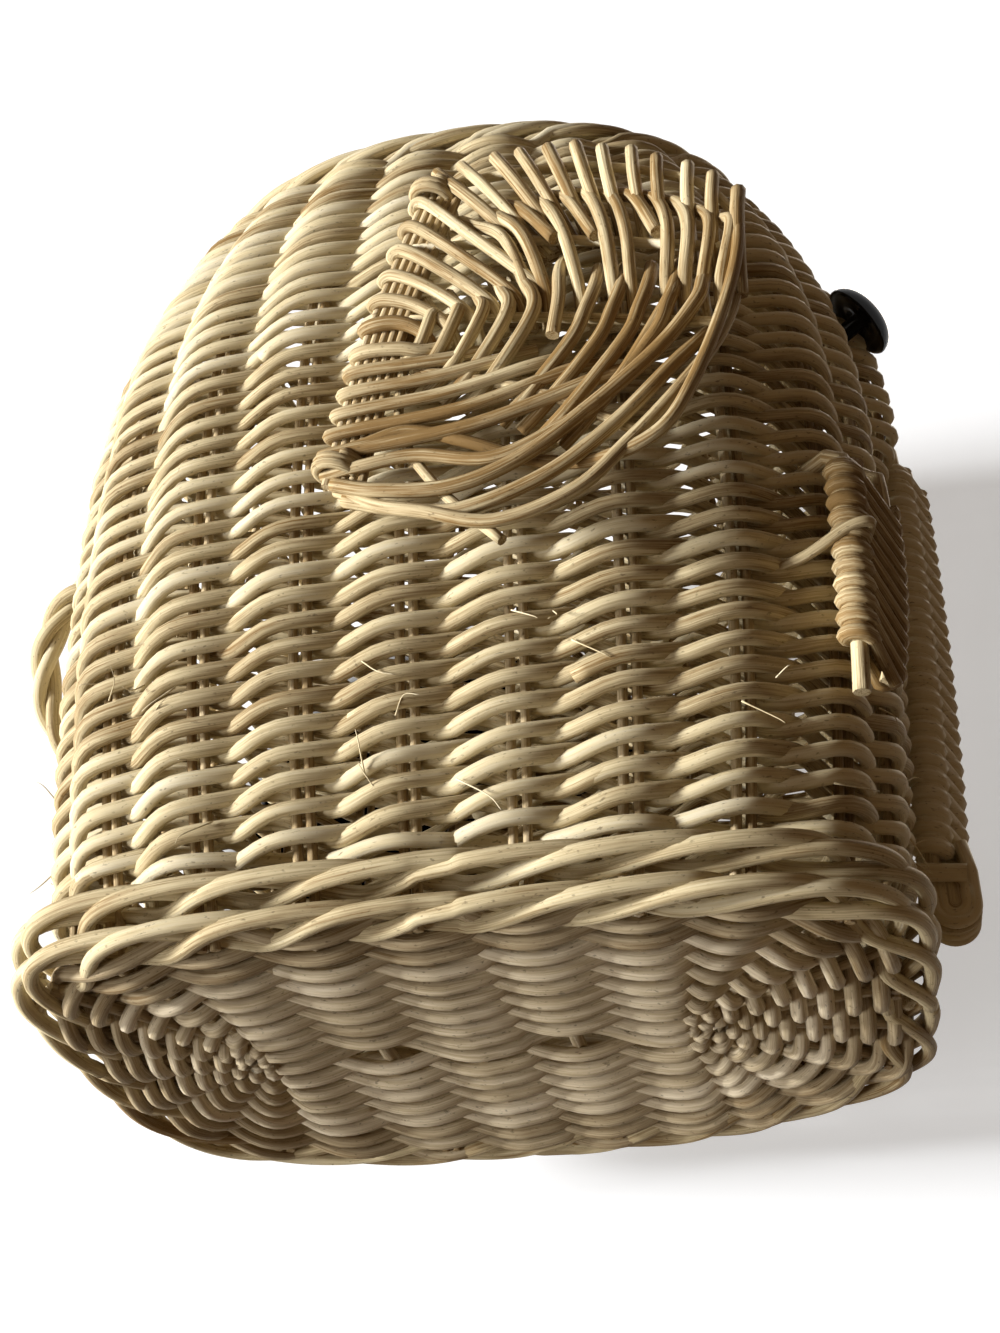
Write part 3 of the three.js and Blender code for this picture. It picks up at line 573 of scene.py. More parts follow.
# How a wale strand runs: share of its three bays, height in the band and stand-off from the stakes
WALE_BAYS = 3
WALE_SHARES = (0.0, 0.1, 0.2, 0.36, 0.58, 0.76, 0.86, 0.94, 1.0)
WALE_RISE = (-0.2, -0.95, -1.0, -0.5, 0.3, 0.9, 1.0, 0.5, -0.2)
WALE_OUT = (-1.0, -0.4, 1.2, 2.6, 2.6, 1.7, 0.0, -1.0, -1.0)
WALE_START = 0.88
WALE_FILL = 0.8
WALE_STEPS = 12
WALE_BLUR = 7
WALE_STRANDS = 6
WALE_WAVER = 0.2 * MM
WALE_VARIES = (0.95, 1.05)
# Low tones for the wale's strands: painted shade over the foot
WALE_TONES_PAINTED_SHADE = (0.05, 0.5)


def weave_wale(name, node, band):
    """A three-strand wale: each strand goes in front of two stakes and behind one, rising as it goes."""
    low, high = band[0][2], band[1][2]
    middle, reach = (low + high) / 2, WALE_FILL * ((high - low) / 2 - WALE_RADIUS)
    weave = Weave()
    run = np.arange(0, WALE_BAYS * BAYS + 1e-6, 1 / WALE_STEPS)
    share = ((run - FIRST_STAKE) / WALE_BAYS + WALE_START) % 1

    def eased(stops):
        values = np.pad(np.interp(share, WALE_SHARES, stops), WALE_BLUR // 2, mode="wrap")
        return np.convolve(values, np.ones(WALE_BLUR) / WALE_BLUR, mode="valid")

    height = middle + reach * eased(WALE_RISE) + wander(len(run), 16, WALE_WAVER)
    out = (STAKE_RADIUS + WALE_RADIUS) * eased(WALE_OUT) - STAKE_DEPTH
    path = spread_foot(wall_point(-run, height, out))
    cuts = np.linspace(0, len(run) - 1, WALE_STRANDS + 1).astype(int)
    for first, last in zip(cuts, cuts[1:]):
        radius = WALE_RADIUS * rng.uniform(*WALE_VARIES)
        weave.strand(path[first:last + 1], radius, tone=rng.uniform(*WALE_TONES_PAINTED_SHADE))
    weave.build(name, CANE, "shaded_cane", node)


# Border: bays that a stake runs along the rim, its roll in degrees, and how its pair follows it
BORDER_REACH = 3.6
BORDER_ROLL_START = -110
BORDER_ROLL = 300
BORDER_PAIR_ROLL = 0.13
BORDER_PAIR_LAG = 0.25
BORDER_BEND = 0.12
BORDER_ROOT = 9 * MM


def weave_border(steps=36):
    """Each pair of stakes bends over and rolls along the rim for a few bays."""
    weave = Weave()
    lay = BORDER_RADIUS - BORDER_CANE_RADIUS
    t = np.linspace(0, 1, steps)
    rise = np.clip(t / BORDER_BEND, 0, 1)
    for index in range(BAYS):
        for pair in (0, 1):
            roll = np.radians(BORDER_ROLL_START + BORDER_ROLL * (t + BORDER_PAIR_ROLL * pair))
            bay = index + FIRST_STAKE - BORDER_REACH * t - BORDER_PAIR_LAG * pair
            out = -STAKE_DEPTH + lay * np.cos(roll) * rise
            height = BORDER_HEIGHT + lay * np.sin(roll) * rise - BORDER_ROOT * (1 - rise)
            weave.strand(wall_point(bay, height, out), BORDER_CANE_RADIUS)
    weave.build("rolled_border", CANE, "shaded_cane", "rim_border")


# Base: rows from the middle line out, with a fan at each end of that line
BASE_ROWS = 16
BASE_EDGE = 0.8 * MM
BASE_SWING = 3.0 * MM
BASE_MIDDLE = base_low[2] + BASE_SWING + WEAVER_RADIUS
BASE_ROW_START = 0.025
BASE_RIB_START = 0.02
BASE_RIB_WAVER = 0.2
BASE_STRAND_PAIRS = (18, 34)
BASE_WAVER = 0.12 * MM
BASE_VARIES = (0.94, 1.06)
FAN_BACK = -57 * MM
FAN_FRONT = 46 * MM


def base_point(bay, share, z):
    """A point of the base; share runs from the middle line to the edge."""
    edge = wall_point(bay, 0, -BASE_EDGE)
    core = np.zeros_like(edge)
    core[..., 0] = np.clip(edge[..., 0], FAN_BACK, FAN_FRONT)
    point = core + (edge - core) * np.asarray(share)[..., None]
    point[..., 2] = z
    return spread_foot(point)


def weave_base():
    weave = Weave()
    total = BASE_ROWS * BAYS
    for bay in strand_bays(total, BASE_STRAND_PAIRS):
        share = BASE_ROW_START + (1 - BASE_ROW_START) * bay / total
        swing = -BASE_SWING * np.cos(math.pi * (bay - FIRST_STAKE)) + wander(len(bay), 14, BASE_WAVER)
        path = base_point(bay, share, BASE_MIDDLE + swing)
        weave.strand(path, WEAVER_RADIUS * rng.uniform(*BASE_VARIES))
    weave.build("base_rows", BASE_CANE, "base_cane", "base_weave")


def lay_base_ribs(steps=10):
    ribs = Weave()
    share = np.linspace(BASE_RIB_START, 1, steps)
    for index in range(BAYS):
        height = BASE_MIDDLE + rng.uniform(-BASE_RIB_WAVER, BASE_RIB_WAVER) * MM
        path = base_point(np.full(steps, index + FIRST_STAKE), share, height)
        ribs.strand(path, BASE_RIB_RADIUS, sides=THIN_SIDES)
    names = [name for name in frame["nodes"] if name.startswith("base_rib_")]
    ribs.build("base_ribs", BASE_CANE, "base_cane", *names)


# Ears: places are millimetres up along the hinge and forward from it, then layers out of the mat
EAR_REST_ANGLE = math.radians(8)
EAR_SWING = EAR_RIB_RADIUS + 0.75 * EAR_CANE_RADIUS
EAR_EDGE_LOW = -5
EAR_EDGE_LENGTH = 97
EAR_EDGE_BOW = 2.5
EAR_VARIES = (0.9, 1.06)
EAR_TONE_SPREAD = 0.2


def ear_point(side, places):
    """Places in an ear's own axes, in millimetres, as points of the basket."""
    places = np.asarray(places, float) * MM
    joint = joints["right_ear_flap"]
    low = np.array(joint["pos_m"])
    axis = np.array(joint["axis"]) * math.copysign(1, joint["axis"][2])
    forward = np.array([axis[2], 0, -axis[0]]) * math.cos(EAR_REST_ANGLE)
    forward[1] = -math.sin(EAR_REST_ANGLE)
    out = np.cross(forward, axis)
    points = low + places[:, :1] * axis + places[:, 1:2] * forward + places[:, 2:] * out
    points[:, 1] *= side
    return points


def edge_turn(up):
    """A strand comes from behind the ear's edge round to its front."""
    share = min(max((up - EAR_EDGE_LOW) / EAR_EDGE_LENGTH, 0), 1)
    bow = -EAR_EDGE_BOW * math.sin(math.pi * share)
    return [(up + 1, 7, -1), (up, 1, -1), (up, bow - 3, 0), (up, bow + 1, 1)]


def lower_turns(count=6):
    """Strands from the edge's lower half, in front of the slanting rib."""
    for k in range(count):
        up = 34 - 6.2 * k
        end = (35 - 2 * k, 14 + 9.2 * k)
        middle = (up + 0.55 * (end[0] - up) - 0.9 * k, 0.55 * end[1])
        yield edge_turn(up) + [(*middle, 1), (*end, 0.35), (end[0] + 6, end[1] + 8, -1)]


def upper_turns(count=6):
    """Strands from the edge's upper half down towards the first cross rib."""
    for k in range(count):
        up = 42.5 + 8.2 * k
        end = (40 + 3 * k, 12 + 5 * k)
        middle = (0.5 * (up + end[0]) + 1.5, 0.45 * end[1])
        yield edge_turn(up) + [(*middle, 1), (*end, 0.35), (end[0] - 7, end[1] + 4, -1)]


def first_tier(count=10, stub=5):
    """Strokes over the first cross rib; the sixth is a stub with a cut end."""
    for k in range(count):
        across = 13 + 6.6 * k
        foot = (35 - 2.2 * k, 11 + 5.5 * k)
        start = [(foot[0] - 7, foot[1] - 7, -1), (*foot, 0.3)]
        if k == stub:
            yield [(37, across, 0.9), (48, across - 1, 1), (58, across - 3.5, 0.5), (66, across - 5, -1)]
        elif k < stub:
            top = (46 + 2.2 * k, across - 1.2 * k)
            yield start + [(44.5, across, 1), (*top, 0.4), (top[0] + 8, top[1] - 6, -1)]
        else:
            bow = (35, across - 1.5, 1)
            yield start + [bow, (44.5, across, 1), (53, across, 0.4), (62, across - 2, -1)]


def second_tier(count=12, stubs=(2, 4, 7)):
    """Strokes over the second cross rib; three of them are short, with cut ends."""
    for k in range(count):
        top = (82.5 - 0.28 * (k - 5) ** 2, 16 + 5.8 * k)
        middle, low = (69, 26 + 5.2 * k), (52, 36 + 4.3 * k)
        start = [(top[0] + 6, top[1] - 7, -1), (*top, 0.4)]
        if k in stubs:
            yield start + [(68, middle[1] + 3, 1)]
        else:
            yield start + [(*middle, 1), (*low, 0.3), (low[0] - 9, low[1] + 2, -1)]


def fringe(count=12):
    """Loose tips over the last cross rib."""
    for k in range(count):
        tip = np.array([101 - 0.42 * (k - 4) ** 2 + rng.uniform(-1, 1), 7.5 * k + rng.uniform(-0.8, 0.8)])
        foot = tip + (-18.5, 3 + 19 * (1 - k / (count - 1)) ** 2)
        yield [(*tip, 0.7), (*(0.5 * (tip + foot)), 1), (*foot, 0.35), (*(foot + 0.6 * (foot - tip)), -1)]


# Long strands that sweep round the ear's outer edge and end at its lower corner
EAR_SWEEPS = [
    [(81, 82, 0.5), (62, 86, 1), (44, 86, 1), (22, 83, 1), (8, 78, 1), (2, 65, 0.2), (4, 49, -1),
     (7, 32, 0.3), (9, 17, 1), (5, 6, 1), (4, -3.5, 0)],
    [(62, 71, -1), (53, 72.5, 0.4), (44.5, 72, 1), (20, 64, 0.8), (10, 55, 1), (1, 40, 1), (2, 21, 1),
     (-1, 8, 1), (-2, -3, 0)],
    [(62, 78, -1), (53, 79, 0.4), (45, 79, 1), (32, 73, 1), (16, 61, 1), (1, 47, 1), (-7, 32, 1),
     (-8, 14, 1), (-5, 1, 0.3)],
    [(44, 84, -1), (28, 77, 0.5), (10, 67, 1), (-4, 54, 1), (-13, 36, 0.8), (-12, 20, 0.3), (-8, 4, -0.5)],
    [(73, 83, -1), (55, 86, -1), (39, 85, -0.6), (21, 79, 0.2), (5, 71, 0.8), (-8, 62, 1), (-16.5, 45, 1),
     (-14, 27, 1), (-11, 14, 0.3), (-5, 1, -0.6)],
]

# The cross ribs of an ear, and where the thin rods along its edge lie
EAR_RIBS = [
    [(34, 8, 0), (12, 13, 0), (-5, 27, 0), (-20, 47, 0)],
    [(46, 6, 0), (45, 40, 0), (41, 84, 0)],
    [(70, 0, 0), (70, 38, 0), (64, 84, 0)],
    [(91, -2, 0), (95, 25, 0), (94, 47, 0), (87, 70, 0), (76, 82, 0)],
    [(30, 12, 0), (22, 45, 0), (8, 76, 0)],
]
EDGE_RODS = (-1.4, 0.9, 3.2, 5.5, 7.8)


def scale_out(stops):
    """Stops whose last value counts layers become places in millimetres."""
    return [(up, forward, layer * EAR_SWING / MM) for up, forward, layer in stops]


def weave_ear(name, side):
    mat, rods = Weave(), Weave()
    # Each family of strands has its own low tone, lowest towards the ear's lower part: partly the cane's
    # darker colour, partly painted shade where the ear turns from the light
    families_and_shade_tones = ((lower_turns(), 0.1), (upper_turns(), 0.2), (first_tier(), 0.15), (second_tier(), 0.15),
                (fringe(), 0.2), (EAR_SWEEPS, 0.02))
    for stops, tone in ((stops, tone) for family, tone in families_and_shade_tones for stops in family):
        path = smooth_path(ear_point(side, scale_out(stops)), 7)
        radius = EAR_CANE_RADIUS * rng.uniform(*EAR_VARIES)
        mat.strand(path, radius, tone=tone + rng.uniform(-EAR_TONE_SPREAD, EAR_TONE_SPREAD))
    for stops in EAR_RIBS:
        mat.strand(smooth_path(ear_point(side, stops), 8), EAR_RIB_RADIUS)
    for forward in EDGE_RODS:
        stops = [(-5, forward, 0), (25, forward - 2, 0), (50, forward - 2.5, 0), (92, forward, 0)]
        rods.strand(smooth_path(ear_point(side, stops), 8), EDGE_ROD_RADIUS)
    mat.build(f"{name}_ear_mat", CANE, "cane", f"{name}_ear_weave", body=f"{name}_ear")
    # The edge rods take the darker stake cane: painted shade
    rods.build(f"{name}_ear_bundle", STAKE_CANE_PAINTED_SHADE, "shaded_cane", f"{name}_ear_edge_rods", body=f"{name}_ear")


# Lashings: places along the hinge and size of the coil in millimetres, then the knot inside
LASHING_PLACES = {"lower": 0.0, "upper": 88.7}
LASHING_TURNS = 2.2
LASHING_RISE = 3.2
LASHING_MIDDLE = 0.6
LASHING_REACH = (5.2, 4.6)
KNOT_INSET = 3.4 * MM
KNOT_RADIUS = 2 * MM
KNOT_HALF = 1.4 * MM


def lash_ear(name, side, which, coil_steps=40, knot_steps=26):
    """Turns of cane round the ear's edge, tied through the wall to a knot inside."""
    node = f"{name}_ear_lashing_{which}"
    low, high = box_of(node)
    up = LASHING_PLACES[which]
    weave = Weave()
    turn = np.linspace(0, 2 * math.pi * LASHING_TURNS, coil_steps)
    rise = up + LASHING_RISE * (turn / turn[-1] - 0.5)
    across = LASHING_MIDDLE + LASHING_REACH[0] * np.cos(turn)
    coil = np.stack([rise, across, LASHING_REACH[1] * np.sin(turn)], -1)
    weave.strand(ear_point(side, coil), LASHING_RADIUS)
    ring = ear_point(side, [(up, 0, -LASHING_REACH[1])])[0]
    inside = (high[1] if side > 0 else low[1]) - side * KNOT_INSET
    shank = np.linspace(ring, [ring[0], inside, ring[2]], 6)
    weave.strand(shank, LASHING_RADIUS)
    knot = np.linspace(0, 4 * math.pi, knot_steps)
    along = np.linspace(-KNOT_HALF, KNOT_HALF, knot_steps)
    ball = np.stack([KNOT_RADIUS * np.cos(knot), along, KNOT_RADIUS * np.sin(knot)], -1)
    weave.strand(shank[-1] + ball, KNOT_CANE_RADIUS)
    weave.build(f"{name}_ear_tie_{which}", CANE, "shaded_cane", node)


# Windings of tusks and trunk

def wind(first, second, radius, lay, loops, steps=8):
    """One cane wound down two rods, given as functions of a share from top to bottom."""
    path = []
    count = 2 * (steps + 1)
    for step in range(loops * count + 1):
        share = step / (loops * count)
        a, b = first(share), second(share)
        across = unit((b - a) * (1, 1, 0))
        out = np.cross((0, 0, 1), across)
        at = step % count
        near = at <= steps
        turn = math.pi * (at if near else at - steps - 1) / steps - math.pi / 2
        away = (lay + radius) * (1 if near else -1)
        path.append((b if near else a) + away * (math.cos(turn) * across + math.sin(turn) * out))
    return np.array(path)


def bead(rod, radius, lay, loops, steps=12):
    """A cane coiled tightly down one rod, so that its turns look like beads."""
    share = np.linspace(0, 1, loops * steps + 1)
    middle = np.array([rod(value) for value in share])
    turn = 2 * math.pi * loops * share
    round_rod = np.stack([np.cos(turn), np.sin(turn), np.zeros_like(turn)], -1)
    return middle + (lay + radius) * round_rod


# Tusks: a rod's bay at its top, its bow and its bay at the tip; the tie's stops are a bay, and millimetres up
# from the tie's middle and out from the wall
TUSK_TOP, TUSK_TIP = 112 * MM, 46.5 * MM
TUSK_OUTER = (2.8, 0.0, 2.8)
TUSK_INNER = (2.4, 0.06, 2.55)
TUSK_INNER_SHORT = 5 * MM
TUSK_OUTSET = 8 * MM
TUSK_ENTRY = np.array([-9, 0, 4]) * MM
TUSK_BEND = 4 * MM
TUSK_LOOPS = 11
TUSK_WIND_TOP, TUSK_WIND_LOW = 107 * MM, 58.5 * MM
TUSK_WRAP_LAY = 1.0 * MM
TUSK_WRAP_RISE = 2 * MM
TUSK_WRAP_DROP = 9 * MM
TUSK_BEAD_LAY = 1.3 * MM
TUSK_TIE = ((3.15, -3, -4), (3.05, -3, 3), (2.92, 0, 10.5), (2.8, 1, 13), (2.7, 1, 10))


def make_tusk(name, side, steps=16):
    def rod_at(bays, height):
        top_bay, bow, tip_bay = bays
        share = (TUSK_TOP - height) / (TUSK_TOP - TUSK_TIP)
        bay = top_bay + (tip_bay - top_bay) * share ** 2 - bow * np.sin(math.pi * share)
        return wall_point(side * bay, height, TUSK_OUTSET)

    def level(share):
        return TUSK_WIND_TOP + (TUSK_WIND_LOW - TUSK_WIND_TOP) * share

    # The rods get a low tone: painted shade over the tusk
    for key, bays, short in (("outer", TUSK_OUTER, 0.0), ("inner", TUSK_INNER, TUSK_INNER_SHORT)):
        heights = np.linspace(TUSK_TOP - TUSK_BEND, TUSK_TIP + short, steps)
        entry = wall_point(side * bays[0], TUSK_TOP, TUSK_ENTRY)
        rod = Weave()
        rod.strand(np.concatenate([entry, rod_at(bays, heights)]), TUSK_ROD_RADIUS, tone=0.15)
        rod.build(f"{name}_tusk_{key}_cane", CANE, "cane", f"{name}_tusk_{key}_rod")

    # The winding and its beads get low tones: painted shade over the tusk
    cane = Weave()
    path = wind(lambda share: rod_at(TUSK_OUTER, level(share) + TUSK_WRAP_RISE),
                lambda share: rod_at(TUSK_INNER, level(share) - TUSK_WRAP_DROP),
                TUSK_WRAP_RADIUS, TUSK_WRAP_LAY, TUSK_LOOPS)
    cane.strand(path, TUSK_WRAP_RADIUS, tone=0.0)
    path = bead(lambda share: rod_at(TUSK_OUTER, level(share)), TUSK_BEAD_RADIUS, TUSK_BEAD_LAY, TUSK_LOOPS)
    cane.strand(path, TUSK_BEAD_RADIUS, tone=-0.05)
    cane.build(f"{name}_tusk_wrap", CANE, "cane", f"{name}_tusk_winding")

    # The tie gets a low tone: painted shade over the tusk
    tie = Weave()
    low, high = box_of(f"{name}_tusk_tie")
    height = (low[2] + high[2]) / 2
    stops = [wall_point(side * bay, height + up * MM, out * MM) for bay, up, out in TUSK_TIE]
    tie.strand(smooth_path(stops, 8), TUSK_TIE_RADIUS, tone=0.15)
    tie.build(f"{name}_tusk_band", CANE, "cane", f"{name}_tusk_tie")


# Trunk: two rods, turned a little to the right, with their winding, cross strip and rolled end
TRUNK_TOP, TRUNK_LOW = 168 * MM, 36 * MM
TRUNK_ENTRY = np.array([-16, -7, -3]) * MM
TRUNK_BEND = 3.4 * MM
TRUNK_OUTSET = 7.4 * MM
TRUNK_ROD_OFFSET = 5.5 * MM
TRUNK_TURN = 2.2 * MM
TRUNK_LOOPS = 25
TRUNK_WIND_TOP, TRUNK_WIND_LOW = 158 * MM, 40 * MM
TRUNK_WRAP_LAY = 1.2 * MM
TRUNK_BEAD_LAY = 1.4 * MM
TRUNK_BEAD_GROWTH = (0.9, 1.1)
STRIP_ROOT = 5 * MM
STRIP_SHORT = 3.5 * MM
STRIP_SLOPE = 1 * MM
ROLL_TOP_INSET = 1.5 * MM
ROLL_END = np.array([4, 8]) * MM


def trunk_rod_at(side, height):
    height = np.asarray(height, float)
    x = pot_half(height)[..., 0] + TRUNK_OUTSET - side * TRUNK_TURN
    return np.stack([x, np.full_like(x, -side * TRUNK_ROD_OFFSET), height], -1)


def make_trunk(steps=20):
    for name, side in SIDES_OF_FACE:
        heights = np.linspace(TRUNK_TOP - TRUNK_BEND, TRUNK_LOW, steps)
        entry = trunk_rod_at(side, np.full(len(TRUNK_ENTRY), TRUNK_TOP))
        entry[:, 0] += TRUNK_ENTRY
        rod = Weave()
        rod.strand(np.concatenate([entry, trunk_rod_at(side, heights)]), TRUNK_ROD_RADIUS)
        rod.build(f"trunk_cane_{name}", CANE, "shaded_cane", f"trunk_rod_{name}")

    def wound_rod(side):
        return lambda share: trunk_rod_at(side, TRUNK_WIND_TOP + (TRUNK_WIND_LOW - TRUNK_WIND_TOP) * share)

    # The winding and its beads get a pale tone: painted light, brightening the trunk's shaded side
    cane = Weave()
    path = wind(wound_rod(-1), wound_rod(1), TRUNK_WRAP_RADIUS, TRUNK_WRAP_LAY, TRUNK_LOOPS)
    cane.strand(path, TRUNK_WRAP_RADIUS, tone=0.9)
    for side in (-1, 1):
        path = bead(wound_rod(side), TRUNK_BEAD_RADIUS, TRUNK_BEAD_LAY, TRUNK_LOOPS)
        cane.strand(path, TRUNK_BEAD_RADIUS * np.linspace(*TRUNK_BEAD_GROWTH, len(path)), tone=0.9)
    cane.build("trunk_wrap", CANE, "shaded_cane", "trunk_winding")
    make_trunk_strip()
    make_trunk_roll()


def make_trunk_strip(steps=8):
    strip = Weave()
    middle = (strip_low + strip_high) / 2
    run = np.linspace(strip_low[0] - STRIP_ROOT, strip_high[0] - STRIP_SHORT, steps)
    height = middle[2] - np.linspace(-STRIP_SLOPE, STRIP_SLOPE, steps)
    path = np.stack([run, np.full(steps, middle[1]), height], -1)
    half = (strip_high[2] - strip_low[2]) / 2
    strip.strand(path, half, aspect=0.4, face=(0, 1, 0), tone=0.6)
    strip.build("trunk_strip", CANE, "cane", "trunk_cross_strip")


def make_trunk_roll(rows=4, steps=18):
    """Rows of cane curled up at the trunk's end, each with two smaller curls inside."""
    roll = Weave()
    centre, reach = (roll_low + roll_high) / 2, (roll_high - roll_low) / 2
    curls = ((reach[2] - ROLL_CANE_RADIUS, 16 * MM), (0.42 * reach[2], 9 * MM), (0.1 * reach[2], 8 * MM))
    turn = np.linspace(0, -math.pi, steps)
    for across in np.linspace(-reach[1] + ROLL_CANE_RADIUS, reach[1] - ROLL_CANE_RADIUS, rows):
        for lay, climb in curls:
            curl = np.stack([lay * np.cos(turn), np.full(steps, across), lay * np.sin(turn)], -1)
            top = [(lay - ROLL_TOP_INSET, across, climb), (lay, across, 0.5 * climb)]
            end = [(-lay, across, height) for height in ROLL_END]
            roll.strand(centre + np.concatenate([top, curl, end]), ROLL_CANE_RADIUS)
    roll.build("trunk_roll", CANE, "shaded_cane", "trunk_end_roll")


# Tail
TAIL_TOP, TAIL_LOW = 146 * MM, 96 * MM
TAIL_REACH = 22.5 * MM
TAIL_BAY = 12
TAIL_ROOT = np.array([-10, -1, 3.5]) * MM
TAIL_STRANDS = 3
TAIL_TWIST = 44 * MM
TAIL_LAY = 1.1 * TAIL_CANE_RADIUS
TAIL_SIDES = 10


def make_tail(steps=60):
    """Three canes twisted into a loop that goes in and out beside the middle stake of the back."""
    start = wall_point(np.full(len(TAIL_ROOT), TAIL_BAY), TAIL_TOP, 0)
    stop = wall_point(np.full(len(TAIL_ROOT), -TAIL_BAY), TAIL_LOW, 0)
    start[:, 0] -= TAIL_ROOT
    stop[:, 0] -= TAIL_ROOT
    angle = np.linspace(0, math.pi, steps)
    bow = start[-1] + (stop[-1] - start[-1]) * ((1 - np.cos(angle)) / 2)[:, None]
    bow[:, 0] -= TAIL_REACH * np.sin(angle)
    middle = np.concatenate([smooth_path(start, 5)[:-1], bow, smooth_path(stop[::-1], 5)[1:]])
    ahead = unit(np.gradient(middle, axis=0))
    plane = unit(np.cross(stop[-1] - start[-1], (-1, 0, 0)))
    side = np.cross(ahead, plane)
    weave = Weave()
    for strand in range(TAIL_STRANDS):
        turn = 2 * math.pi * (walked_along(middle) / TAIL_TWIST + strand / TAIL_STRANDS)
        path = middle + TAIL_LAY * (np.cos(turn)[:, None] * plane + np.sin(turn)[:, None] * side)
        weave.strand(path, TAIL_CANE_RADIUS, sides=TAIL_SIDES)
    weave.build("tail_twist", CANE, "shaded_cane", "tail_loop")


# Eyes: the cap's rolled lip and dome, and the washer behind it
EYE_LIP = 0.5 * MM
EYE_DOME_POWER = 0.8
EYE_TOP_RADIUS = 0.2 * MM
WASHER_SHARE = 0.62
WASHER_HALF = 1 * MM
WASHER_BEVEL = 0.4 * MM
WASHER_BORE = 1.15


def lathe(profile, place_at, axis, sides=48):
    """A round mesh turned from a profile of radius and height along an axis."""
    profile = np.asarray(profile, float)
    side = unit(np.cross(axis, (0, 0, 1)))
    other = np.cross(axis, side)
    turn = round_angles(sides)
    wheel = np.cos(turn)[:, None] * side + np.sin(turn)[:, None] * other
    points = place_at + profile[:, :1, None] * wheel[None] + profile[:, 1:, None] * axis
    faces = []
    for row in range(len(profile) - 1):
        for k in range(sides):
            a, b = row * sides + k, row * sides + (k + 1) % sides
            faces.append((a, b, b + sides, a + sides))
    faces.append(tuple(range(sides))[::-1])
    faces.append(tuple(range((len(profile) - 1) * sides, len(profile) * sides)))
    return points.reshape(-1, 3).tolist(), faces


def frame_axis(points, start):
    """The direction from a start to the far end of a round solid."""
    far = points[np.argmax(np.linalg.norm(points - start, axis=1))]
    middle = points[np.linalg.norm(points - far, axis=1) < 0.5 * MM].mean(0)
    return unit(middle - start)


def add_solid(name, points, faces, node):
    mesh = bpy.data.meshes.new(name)
    mesh.from_pydata(points, [], faces)
    mesh.update()
    for polygon in mesh.polygons:
        polygon.use_smooth = len(polygon.vertices) == 4
    dress(name, mesh, EYE_BLACK, [node])


def cap_profile(wide, stem, lip, top, steps=14):
    """From the stem out under the cap, round its lip and over its dome."""
    under = ((stem, 1.2), (0.6 * wide, 0.9), (0.9 * wide, 0.0), (0.98 * wide, 0.1))
    profile = [(radius, lip + rise * MM) for radius, rise in under]
    for turn in np.linspace(0, math.pi / 2, steps):
        radius = max(wide * math.cos(turn) ** EYE_DOME_POWER, EYE_TOP_RADIUS)
        profile.append((radius, lip + EYE_LIP + (top - lip - EYE_LIP) * math.sin(turn)))
    return profile


def make_eye(name):
    """A black button: domed cap with a rolled lip, stem and inner washer."""
    node = frame["nodes"][f"{name}_eye_button"]
    points = np.array([vertex.co for vertex in node.data.vertices])
    washer_low, washer_high = box_of(f"{name}_eye_washer")
    inner = (washer_low + washer_high) / 2
    axis = frame_axis(points, inner)
    heights = (points - inner) @ axis
    radii = np.linalg.norm(points - inner - heights[:, None] * axis, axis=1)
    wide, stem = radii.max(), radii[heights < heights.min() + 1 * MM].max()
    lip, top = heights[radii > 0.98 * wide].min(), heights.max()
    profile = [(stem, heights.min())] + cap_profile(wide, stem, lip, top)
    add_solid(f"{name}_eye_cap", *lathe(profile, inner, axis), f"{name}_eye_button")
    edge = 0.5 * np.linalg.norm(washer_high - washer_low) * WASHER_SHARE
    flat, bevel, bore = edge - WASHER_BEVEL, WASHER_HALF - WASHER_BEVEL, WASHER_BORE * stem
    ring = [(bore, -WASHER_HALF), (flat, -WASHER_HALF), (edge, -bevel), (edge, bevel), (flat, WASHER_HALF),
            (bore, WASHER_HALF)]
    add_solid(f"{name}_eye_backing", *lathe(ring, inner, axis), f"{name}_eye_washer")


# Loose fibres
FIBRES = 60
FIBRE_LOW = wall_low[2] + 6 * MM
FIBRE_HIGH = ear_low[2] - 8 * MM
FIBRE_RADII = np.array([0.22, 0.08]) * MM


def fray():
    """Fine fibres that stand off the wall below the ears."""
    weave = Weave()
    for _ in range(FIBRES):
        bay = rng.uniform(0, BAYS)
        height = rng.uniform(FIBRE_LOW, FIBRE_HIGH)
        root = wall_point(bay, height, 0.0)
        lean_bay = bay + rng.uniform(-0.3, 0.3)
        lean_height = height + rng.uniform(-6, 6) * MM
        lean = wall_point(lean_bay, lean_height, rng.uniform(1.5, 4) * MM)
        end = lean + (lean - root) * rng.uniform(0.2, 0.6) + rng.normal(0, 1.2, 3) * MM
        path = smooth_path([root, lean, end], 4)
        weave.strand(path, np.linspace(*FIBRE_RADII, len(path)), sides=4, tone=0.6)
    weave.build("frayed_fibres", CANE, "cane")


weave_wall()
weave_stakes()
weave_wale("foot_rows_lower", "foot_wale_lower", lower_wale)
weave_wale("foot_rows_upper", "foot_wale_upper", upper_wale)
weave_border()
weave_base()
lay_base_ribs()
for side_name, side_sign in SIDES_OF_FACE:
    weave_ear(side_name, side_sign)
    for lashing in LASHING_PLACES:
        lash_ear(side_name, side_sign, lashing)
    make_tusk(side_name, side_sign)
    make_eye(side_name)
make_trunk()
make_tail()
fray()


# Camera: place, direction and focal length in the picture's pixels
CAMERA_PLACE = np.array([78, -422, -161]) * MM
CAMERA_TURN = math.radians(10.4)
CAMERA_PITCH = math.radians(32.4)
CAMERA_ROLL = math.radians(-0.4)
FOCAL_PIXELS = 1841
PICTURE_HEIGHT = 1333
SENSOR = 36

